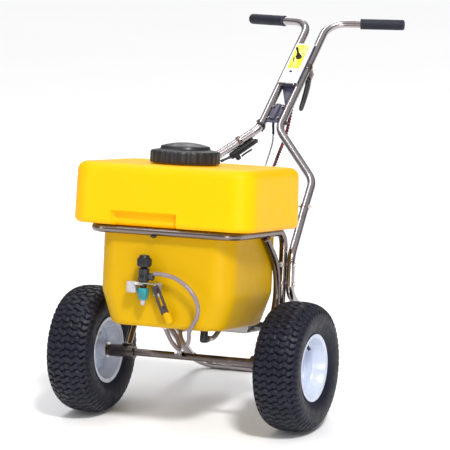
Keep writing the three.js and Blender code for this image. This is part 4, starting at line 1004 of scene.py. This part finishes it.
def build_gun():
    knee, foot = mirror(KNEE, -1), vec((-STEM, *STEM_FOOT))
    along = unit(foot - knee)
    down = vec((0, 0, -1.0))
    under = unit(down - along * (down @ along))
    back = -along + under * -0.15

    def at(distance, drop):
        """A point under the left handle tube: distance from its knee and drop from its middle."""
        return knee + along * distance + under * drop

    drop = 23.5
    profile = [(0, 0), (7, 0), (8.6, 1), (9.6, 4), (9.9, 14), (10.1, 17), (10.3, 20)]
    for start in range(24, 72, 6):
        profile += [(10.4, start), (9.6, start + 1), (9.6, start + 1.9), (10.4, start + 2.9)]
    profile += [(10.2, 74), (9.6, 77.6), (7, 79), (0, 79)]
    barrel = aim(lathe(profile, 56), at(117, drop - 1), along + under * -0.03)
    house = lathe([(0, 0), (7.4, 0), (7.4, 13), (6.6, 16), (5, 18.6), (0, 19.2)], 32)
    hose_start = vec((-40, 443, 551))
    way = unit(hose_start - at(197, drop))
    elbow = lathe([(0, 0), (6.4, 0), (6.4, 9), (5.2, 9.6), (5.2, 11.5), (4.4, 13.2), (0, 13.4)], 28)
    place("gun_grip", merged(barrel, aim(house, at(134, drop), under), aim(elbow, at(197, drop), way)),
          "black_plastic", "gun_body")
    nut = lathe([(0, 0), (4.6, 0), (4.6, 7), (3.4, 8), (0, 8)], 6)
    collar = lathe([(0, 0), (4, 0), (4, 8), (3, 9.6), (0, 9.6)], 20)
    lance = merged(tube([at(119.6, drop), at(112, drop - 1.2), at(88, drop - 5)], 3.2, 20),
                   aim(nut, at(119.6, drop), back), aim(collar, at(97, drop - 3.6), back))
    place("gun_lance", lance, "grip_vinyl", "gun_wand")
    path = smooth_path([at(143.5, drop + 14.5), at(155, drop + 13.4), at(167, drop + 13.4),
                        at(178, drop + 14)], 16)
    lever = tube(path, 2.5, 18, swell=lambda s: 1 + 0.06 * math.sin(s * 0.9))
    place("gun_lever", lever[:2], "black_plastic", "gun_trigger", "trigger")
    clip = aim(band(11.3, 14, 0, 12, 0.8, 0.4), at(154, 0), along)
    neck = tube([at(160, 13), at(160, drop - 9.6)], 4.6, 20)
    place("gun_clip_band", merged(clip, neck), "stainless_in_painted_shade", "gun_clip")
    above = PUMP_FRONT + 27
    line = [hose_start + way * 1, hose_start + way * 8, (-50, 462, 550), (-68, 464, 552), (-88, 448, 546),
            (-110, 417, 528), (-150, 382, 491), (-158, 345, 452), (-120, 318, 420), (-60, 300, 390),
            (-18, 252, 338), (6, 190, 285), (36, 163, 248), (66, 153, 218), (81, above + 1, 186),
            (84, above + 1, 164), (84, above, 152), (84, above, PUMP_TOP + 0.3)]
    place("gun_line", tube(smooth_path(line, 120), 4, 18), "black_rubber", "gun_hose")


# ------------------------------------------------------------------ nozzle and hoses
def fluted(depth, count, wide, shift, levels):
    """A rib function for lathe: grooves round the rings of the profile from one level to another."""
    def ribs(angle, level, radius):
        if not levels[0] <= level <= levels[1]:
            return radius
        return radius - depth * (1 - ease(math.cos(angle * count) * wide + shift))
    return ribs


def build_nozzle():
    body = lathe([(0, -33), (6.6, -33), (8, -31.6), (8, 1), (12.6, 1.6), (13.6, 2.6), (13.6, 12),
                  (12.6, 13), (12.6, 17), (13.8, 18), (13.8, 32.6), (12.8, 33.8), (9, 35.6), (7.5, 38),
                  (7.5, 55.6), (0, 56)], 48)
    port = lathe([(0, 0), (8.6, 0), (8.6, 17), (9.6, 17.6), (9.6, 26), (8.8, 27), (0, 27)], 12)
    collar = block((-10.5, -13.2, 4.5), (10.5, 13.2, 10.5), 1.4)
    valve = merged(body, aim(port, (0, 0, 14.5), (1, 0, 0)), collar)
    knob = lathe([(7.8, 39), (15.4, 39), (17.6, 41), (19, 44), (19, 52), (19, 58.6), (17.4, 60.6),
                  (14.6, 61.6), (13.6, 63), (13.2, 66), (12, 68), (8, 68.8), (0, 69), (0, 56.3),
                  (7.8, 56.3), (7.8, 39)], 120, fluted(1.5, 8, 1.3, 0.7, (2, 6)))
    cup = lathe([(8.3, -36), (8.3, -15), (12.6, -15), (14.2, -16.6), (14.5, -20), (14.4, -28), (12.6, -36),
                 (10.6, -43.4), (8.4, -45), (6.5, -45), (6.5, -36), (8.3, -36)], 100,
                fluted(0.9, 10, 1, 0.6, (2, 5)))
    tip = lathe([(0, -36.6), (6.2, -36.6), (6.2, -51), (5.6, -53.4), (5.4, -56.6), (4.6, -58), (1.2, -58),
                 (1.2, -55), (0, -55)], 36)
    for name, shape, material, node, body in (
            ("valve_housing", valve, "black_plastic", "valve_body", "chassis"),
            ("knob_lobed", knob, "black_plastic", "valve_knob", "knob"),
            ("nozzle_cup", cup, "teal_plastic", "nozzle_cap", "nozzle"),
            ("nozzle_spray_tip", tip, "white_plastic", "nozzle_tip", "nozzle")):
        place(name, aim(shape, VALVE), material, node, body)


def build_nozzle_mount():
    length = float(np.hypot(*(STRAP_FOOT - STRAP_HEAD)))
    slot_half = (length - 16) / 2
    rim = round_outline(10, length / 2, 2.2, 4, at=(0, length / 2))
    hole = round_outline(3.4, slot_half, 3.2, 4, at=(0, 9 + slot_half))
    place("strap", carried(holed_plate(rim, hole, 0.0, 3.0), strap_at), "axle_steel", "nozzle_strap")
    bolt_x, _, bolt_z = strap_at(0, 63, 0)
    screws = merged(hex_head((bolt_x, STRAP_BACK - 3, bolt_z), (0, -1, 0), 10, 4.6),
                    hex_head(strap_at(0, 16, 3), (0, -1, 0), 7.5, 2.2))
    place("strap_screws", screws, "axle_steel", "strap_bolt")
    middle, top = VALVE[1], VALVE[2]
    plate = block((-54, middle - 16, top - 3), (2, STRAP_BACK + 3.3, top), 0.7)
    tab = block((bolt_x - 10, STRAP_BACK + 0.3, bolt_z - 14), (bolt_x + 12, STRAP_BACK + 3.3, top), 0.7)
    lip = block((-54, middle - 16, top - 6.5), (-30, middle - 14.6, top), 0.4)
    place("nozzle_plate", merged(plate, tab, lip), "stainless_sheet", "nozzle_bracket")
    end = block((-79, middle - 10, 178), (-54.3, middle + 12, top), 2.2, 3)
    rib = block((-75, middle - 10.6, 182), (-58.5, middle - 9, 202), 0.5)
    place("end_block", merged(end, rib), "white_plastic", "bracket_end_block")


def build_hoses():
    port = PUMP_FRONT - 2
    drain_x, feed_x, bypass_x = PORTS
    feed = [(-8.7, -240, 229), (11, -240, 229), (39, -241, 225.5), (62, -242, 217.5), (85, -242, 203),
            (102, -242, 186), (113, -241, 168), (117.5, -240, 148), (114, -237, 127), (101, -230, 107),
            (87, -219, 89), (77.5, -200, 69), (67, -181, 53.5), (51, -165, 48), (37, -150, 55),
            (25, -135, 67), (13, -110, 76), (9, -80, 78), (9, -20, 78), (11, 40, 78), (13, 80, 78),
            (feed_x, port - 14, PORT_Z), (feed_x, port, PORT_Z)]
    bypass = [(-35, -100, 89.4), (-35, -100, 80), (-29, -97, 65), (-21, -90, 46), (-13, -77, 30),
              (-10, -62, 25), (-17, -52, 38), (-30, -43, 56), (-44, -38, 70), (-56, -28, 77), (-60, -8, 78),
              (-54, 22, 78), (-36, 52, 78), (-18, 76, 78), (bypass_x, port - 18, PORT_Z),
              (bypass_x, port - 8, PORT_Z), (bypass_x, port, PORT_Z)]
    drain = [(drain_x, y, z) for y, z in ((-7.7, 51), (6, 51), (24, 51), (42, 56), (60, 66), (76, 75),
                                          (92, PORT_Z), (port - 12, PORT_Z), (port, PORT_Z))]
    clips = []
    for name, points, count, radius, material, node in (
            ("feed_line", feed, 150, HOSE, "clear_hose", "nozzle_hose"),
            ("bypass_line", bypass, 150, HOSE, "clear_hose", "bypass_hose"),
            ("drain_line", drain, 60, DRAIN_HOSE, "grey_hose", "drain_hose")):
        path = smooth_path(points, count)
        place(name, tube(path, radius, 28), material, node)
        clips.append(clamp_ring(path[-4], path[-4] - path[-5], radius + 0.1))
        if name != "feed_line":
            clips.append(clamp_ring(path[4], path[4] - path[3], radius + 0.1))
    place("hose_clips", merged(*clips), "bolt_zinc")
    flange = lathe([(0, 0), (17, 0), (19.2, 1), (19.2, 7.6), (17, 8.6), (10, 9), (0, 9)], 6)
    drop = lathe([(0, 0), (10, 0), (10, 27), (10.8, 27.6), (10.8, 40), (9, 45), (5, 46.8), (0, 47)], 32)
    outlet = lathe([(0, 0), (8.4, 0), (8.4, 12), (9.4, 12.6), (9.4, 18), (8.6, 19), (7.4, 19.4), (7.4, 22),
                    (0, 22)], 12)
    fitting = merged(aim(flange, (drain_x, -30, 89.5), (0, 0, -1)),
                     aim(drop, (drain_x, -30, 89.6), (0, 0, -1)),
                     aim(outlet, (drain_x, -30, 51), (0, 1, 0)))
    place("drain_fitting", fitting, "black_plastic", "drain_elbow")


def build_cables():
    above = PUMP_FRONT + 27
    bowden = [on_stem(16.8, 236, -24), on_stem(13.5, 235.5, -24), on_stem(10.5, 226, -22),
              on_stem(10, 200, -19.5), on_stem(8.5, 170, -20), on_stem(5, 142, -24), (-6, 540, 640),
              (-14, 510, 622), (-13, 494, 600), (-9, 487, 578), (-4, 474, 552), (0, 446, 520),
              (2, 416, 486), (14, 340, 420), (28, 262, 340), (38, 196, 262), (40, above + 2, 190),
              (40, above, 160), (40, above, PUMP_TOP + 0.3)]
    path = smooth_path(bowden, 160)
    place("bowden_wire", tube(path, 2.2, 14), "cable_steel", "control_cable")
    upper = path[(path[:, 2] > 568) & (path[:, 2] < 720)]
    place("bowden_sleeve", tube(upper, 3.3, 18), "cable_sleeve")
    gland = SHELF_FRONT + 84
    power = [on_stem(0, 234.4, -8), on_stem(0, 226, -9), on_stem(0, 206, -24), (1, 596, 668), (2, 580, 634),
             (6, 560, 607), (9, 540, 580), (12, 512, 550), (14, 478, 519), (18, 440, 486), (22, 360, 420),
             (12, 290, 350), (4, 240, 290), (0, 214, 240), (-6, gland + 4, 210), (-17, gland, 195),
             (-27, gland, 192), (-35.1, gland, 192)]
    path = smooth_path(power, 300)
    _, side, over = frames_along(path)
    for name, phase, material in (("red", 0.0, "red_wire"), ("dark", math.pi, "dark_wire")):
        twist = (lengths(path) / 20 * 2 * math.pi + phase)[:, None]
        wire = path + 2.4 * (np.cos(twist) * side + np.sin(twist) * over)
        place(f"power_wire_{name}", tube(wire, 2.7, 10), material, "power_cable")


# ------------------------------------------------------------------ shelf, battery and pump
SHELF_FAR, FLOOR_TOP = SHELF_FRONT + 168, SHELF_LOW + 3.3
BOX_LOW, BOX_HIGH = vec((-152, SHELF_FRONT + 9, FLOOR_TOP)), vec((-36, SHELF_FRONT + 117, 222))
PUMP_BACK, MOTOR_X, MOTOR_Z = PUMP_FRONT + 50, 42, 108


def build_shelf():
    flat = [(-122, SHELF_LOW), (SHELF_RIGHT, SHELF_LOW), (104, 90), (157, 205), (157, 235),
            (SHELF_LEFT, 235), (SHELF_LEFT, 200)]
    upright = carried(slab(flat, SHELF_FRONT, SHELF_FRONT + 3, 0.6), lambda x, z, y: (x, y, z))
    floor_sheet = block((SHELF_LEFT, SHELF_FRONT, SHELF_LOW), (SHELF_RIGHT, SHELF_FAR, SHELF_LOW + 3), 0.9)
    lip = block((SHELF_LEFT, SHELF_FAR - 3, SHELF_LOW), (SHELF_RIGHT, SHELF_FAR, SHELF_LOW + 17), 0.9)
    end = block((SHELF_LEFT, SHELF_FRONT, SHELF_LOW), (SHELF_LEFT + 2.6, SHELF_FAR, SHELF_LOW + 14), 0.8)
    place("shelf_sheet", merged(upright, floor_sheet, lip, end), "stainless_sheet", "equipment_shelf")
    grommet = lathe([(6.7, -1), (9.6, -1), (10, 0), (9.6, 4), (6.7, 4), (6.7, -1)], 28)
    grommets = [aim(grommet, (x, SHELF_FRONT - 0.2, PORT_Z), (0, 1, 0)) for x in PORTS]
    place("shelf_grommets", merged(*grommets), "black_rubber")
    bolts = [hex_head((x, SHELF_FRONT + 3, 226), (0, 1, 0), 9, 4) for x in (-140, -50, 50, 140)]
    place("shelf_bolts", merged(*bolts), "bolt_zinc")


def build_battery():
    low, high = BOX_LOW, BOX_HIGH
    ribs = []
    for k in range(7):
        x = low[0] + 12 + k * 15.3
        ribs.append(block((x - 1.6, high[1] - 1, low[2] + 10), (x + 1.6, high[1] + 1.6, high[2] - 22), 0.6))
    base, top, out = high[2] - 8, high[2] - 0.4, 1.6
    rim = [block((low[0] - out, high[1] - 3, base), (high[0] + out, high[1] + out, top), 0.7),
           block((low[0] - out, low[1] - out, base), (high[0] + out, low[1] + 3, top), 0.7),
           block((low[0] - out, low[1], base), (low[0] + 3, high[1], top), 0.7),
           block((high[0] - 3, low[1], base), (high[0] + out, high[1], top), 0.7)]
    place("battery_case", merged(open_box(low, high, 3.0), *ribs, *rim), "black_plastic", "battery_box")
    cell_top = low[2] + 99
    place("battery_cell", block(low + (5, 6, 3.3), (high[0] - 5, high[1] - 6, cell_top), 3, 3),
          "grip_vinyl", "battery")
    post = lathe([(0, 0), (8, 0), (8, 3), (5, 4), (5, 11), (4.2, 12), (0, 12)], 24)
    for x, material, name in ((low[0] + 24, "red_wire", "plus"), (high[0] - 24, "black_plastic", "minus")):
        place(f"battery_post_{name}", aim(post, (x, (low[1] + high[1]) / 2, cell_top - 0.2)), material)
    lid_low, lid_high = low + (-2, -2, 0), high + (2, 2, 10)
    lid_low[2] = high[2] + 0.3
    middle = (lid_low[0] + lid_high[0]) / 2
    lid = [block(lid_low, lid_high - (0, 0, 1.6), 2.6, 3),
           block(lid_low + (14, 14, 6), lid_high - (14, 14, 0), 1.6, 2)]
    left, right, top = lid_low[0] + 24, lid_high[0] - 24, lid_high[2]
    for k in range(4):
        y = lid_low[1] + 28 + k * 19
        lid.append(block((left, y, top - 0.8), (right, y + 7, top), 0.3))
    lid.append(tube([(x, high[1] + 5, high[2] + 5) for x in (low[0] + 20, high[0] - 20)], 4, 24))
    lid.append(block((middle - 14, lid_low[1] - 2.4, high[2] + 1),
                     (middle + 14, lid_low[1] + 2, high[2] + 8), 1.2))
    place("battery_cover", merged(*lid), "black_plastic", "battery_lid", "lid")


def build_pump():
    head = [block((PUMP_LEFT, PUMP_FRONT + 3, FLOOR_TOP), (PUMP_RIGHT, PUMP_FRONT + 34, PUMP_TOP), 4, 3),
            block((-21, PUMP_FRONT + 32, SHELF_LOW + 6), (88, PUMP_BACK, PUMP_TOP - 4), 3, 3)]
    inlet = lathe([(0, 0), (8, 0), (9, 0.8), (9, 5.6), (0, 5.6)], 24)
    head += [aim(inlet, (x, PUMP_FRONT - 1.7, PORT_Z), (0, 1, 0)) for x in PORTS]
    front, back = PUMP_FRONT + 8, PUMP_BACK - 6
    for k in range(9):
        x = -17 + k * 12.6
        head.append(block((x - 1.3, front, PUMP_TOP - 1), (x + 1.3, back, PUMP_TOP - 0.1), 0.5))
    place("pump_housing", merged(*head), "black_plastic", "pump_head")
    screws = [pan_screw((x, PUMP_BACK, z), (0, 1, 0), 3.6, 2.2)
              for x in (-14, 82) for z in (SHELF_LOW + 14, PUMP_TOP - 12)]
    screws += [pan_screw((x, PUMP_BACK - 0.2, MOTOR_Z), (0, 1, 0), 3.6, 2.2) for x in (-14, 82)]
    place("pump_screws", merged(*screws), "bolt_zinc")
    motor = lathe([(0, 0), (30, 0), (33, 2), (33, 12), (32, 13), (32, 16), (32.6, 17), (32.6, 66), (32, 67),
                   (32, 70), (33, 71), (33, 80), (31, 84), (12, 86), (0, 86)], 72)
    seat = (MOTOR_X, PUMP_BACK + 0.3, MOTOR_Z)
    feet = [block((22, PUMP_BACK + 24, FLOOR_TOP), (62, PUMP_BACK + 60, 84), 1.6),
            block((14, PUMP_BACK + 28, FLOOR_TOP), (70, PUMP_BACK + 56, SHELF_LOW + 8), 1)]
    place("pump_motor_case", merged(aim(motor, seat, (0, 1, 0)), *feet), "black_plastic", "pump_motor")
    bands = [aim(lathe([(32.4, y), (33, y), (33, y + 5), (32.4, y + 5), (32.4, y)], 72), seat, (0, 1, 0))
             for y in (26, 52)]
    place("pump_bands", merged(*bands), "bolt_zinc")


# ------------------------------------------------------------------ everything
build_tank()
build_cap()
build_frame()
build_axle()
for wheel_name, wheel_side in SIDES:
    build_tyre(wheel_name, wheel_side)
    build_rim(wheel_name, wheel_side)
for build in (build_grips, build_panel, build_toggle, build_cross_bracket, build_lever, build_gun,
              build_nozzle, build_nozzle_mount, build_hoses, build_cables, build_shelf, build_battery,
              build_pump):
    build()

# ------------------------------------------------------------------ studio
FLOOR_REACH, PALE = 34.0, (0.96, 0.96, 0.965)
Shader("studio_floor", PALE, 0.6).mottle(1.2, tuple(c * 0.985 for c in PALE))
floor_mesh = bpy.data.meshes.new("floor")
floor_corners = [(x, y, -0.0006) for y in (-FLOOR_REACH, FLOOR_REACH) for x in (-FLOOR_REACH, FLOOR_REACH)]
floor_mesh.from_pydata(floor_corners, [], [(0, 1, 3, 2)])
floor_mesh.materials.append(MAT["studio_floor"])
floor = bpy.data.objects.new("floor", floor_mesh)
scene.collection.objects.link(floor)

world = bpy.data.worlds.new("studio")
world.use_nodes = True
sky = world.node_tree
heading = sky.nodes.new("ShaderNodeTexCoord")
split = sky.nodes.new("ShaderNodeSeparateXYZ")
shades = sky.nodes.new("ShaderNodeValToRGB")
for stop, height, color in zip(shades.color_ramp.elements, (0.10, 0.62),
                               ((0.11, 0.11, 0.13), (0.78, 0.78, 0.78))):
    stop.position = height
    stop.color = (*color, 1)
sky.links.new(heading.outputs["Generated"], split.inputs["Vector"])
sky.links.new(split.outputs["Z"], shades.inputs["Fac"])
sky.links.new(shades.outputs["Color"], sky.nodes["Background"].inputs["Color"])
sky.nodes["Background"].inputs["Strength"].default_value = 0.72
scene.world = world


def lamp(name, kind, energy, pose):
    data = bpy.data.lights.new(name, kind)
    data.energy = energy
    made = bpy.data.objects.new(name, data)
    scene.collection.objects.link(made)
    made.matrix_world = pose
    return data


def softbox(name, at, target, size_x, size_y, power):
    facing = (Vector(target) - Vector(at)).to_track_quat("-Z", "Y")
    data = lamp(name, "AREA", power, Matrix.Translation(at) @ facing.to_matrix().to_4x4())
    data.shape = "RECTANGLE"
    data.size, data.size_y = size_x, size_y


def distant(name, towards, strength, softness):
    data = lamp(name, "SUN", strength, Vector(towards).to_track_quat("Z", "Y").to_matrix().to_4x4())
    data.angle = math.radians(softness)


distant("key", (0.55, -0.56, 1.0), 2.3, 9)
softbox("right", (2.3, -3.2, 0.55), (0.1, -0.1, 0.35), 0.9, 0.9, 30)
softbox("left", (-2.2, -3.0, 1.2), (0, -0.1, 0.45), 0.5, 1.8, 15)
softbox("strip_over", (-1.0, 0.85, 3.2), (-0.1, 0.35, 0.7), 2.2, 0.4, 26)
softbox("strip_left", (-0.85, -1.6, 3.1), (-0.1, 0.2, 0.5), 0.22, 3.2, 14)
softbox("strip_right", (1.5, -1.8, 2.9), (0.1, 0.2, 0.5), 0.22, 3.2, 16)
softbox("rear", (-1.2, 3.0, 2.2), (0, 0, 0.7), 1.2, 1.2, 14)
scene.view_settings.view_transform = "Standard"
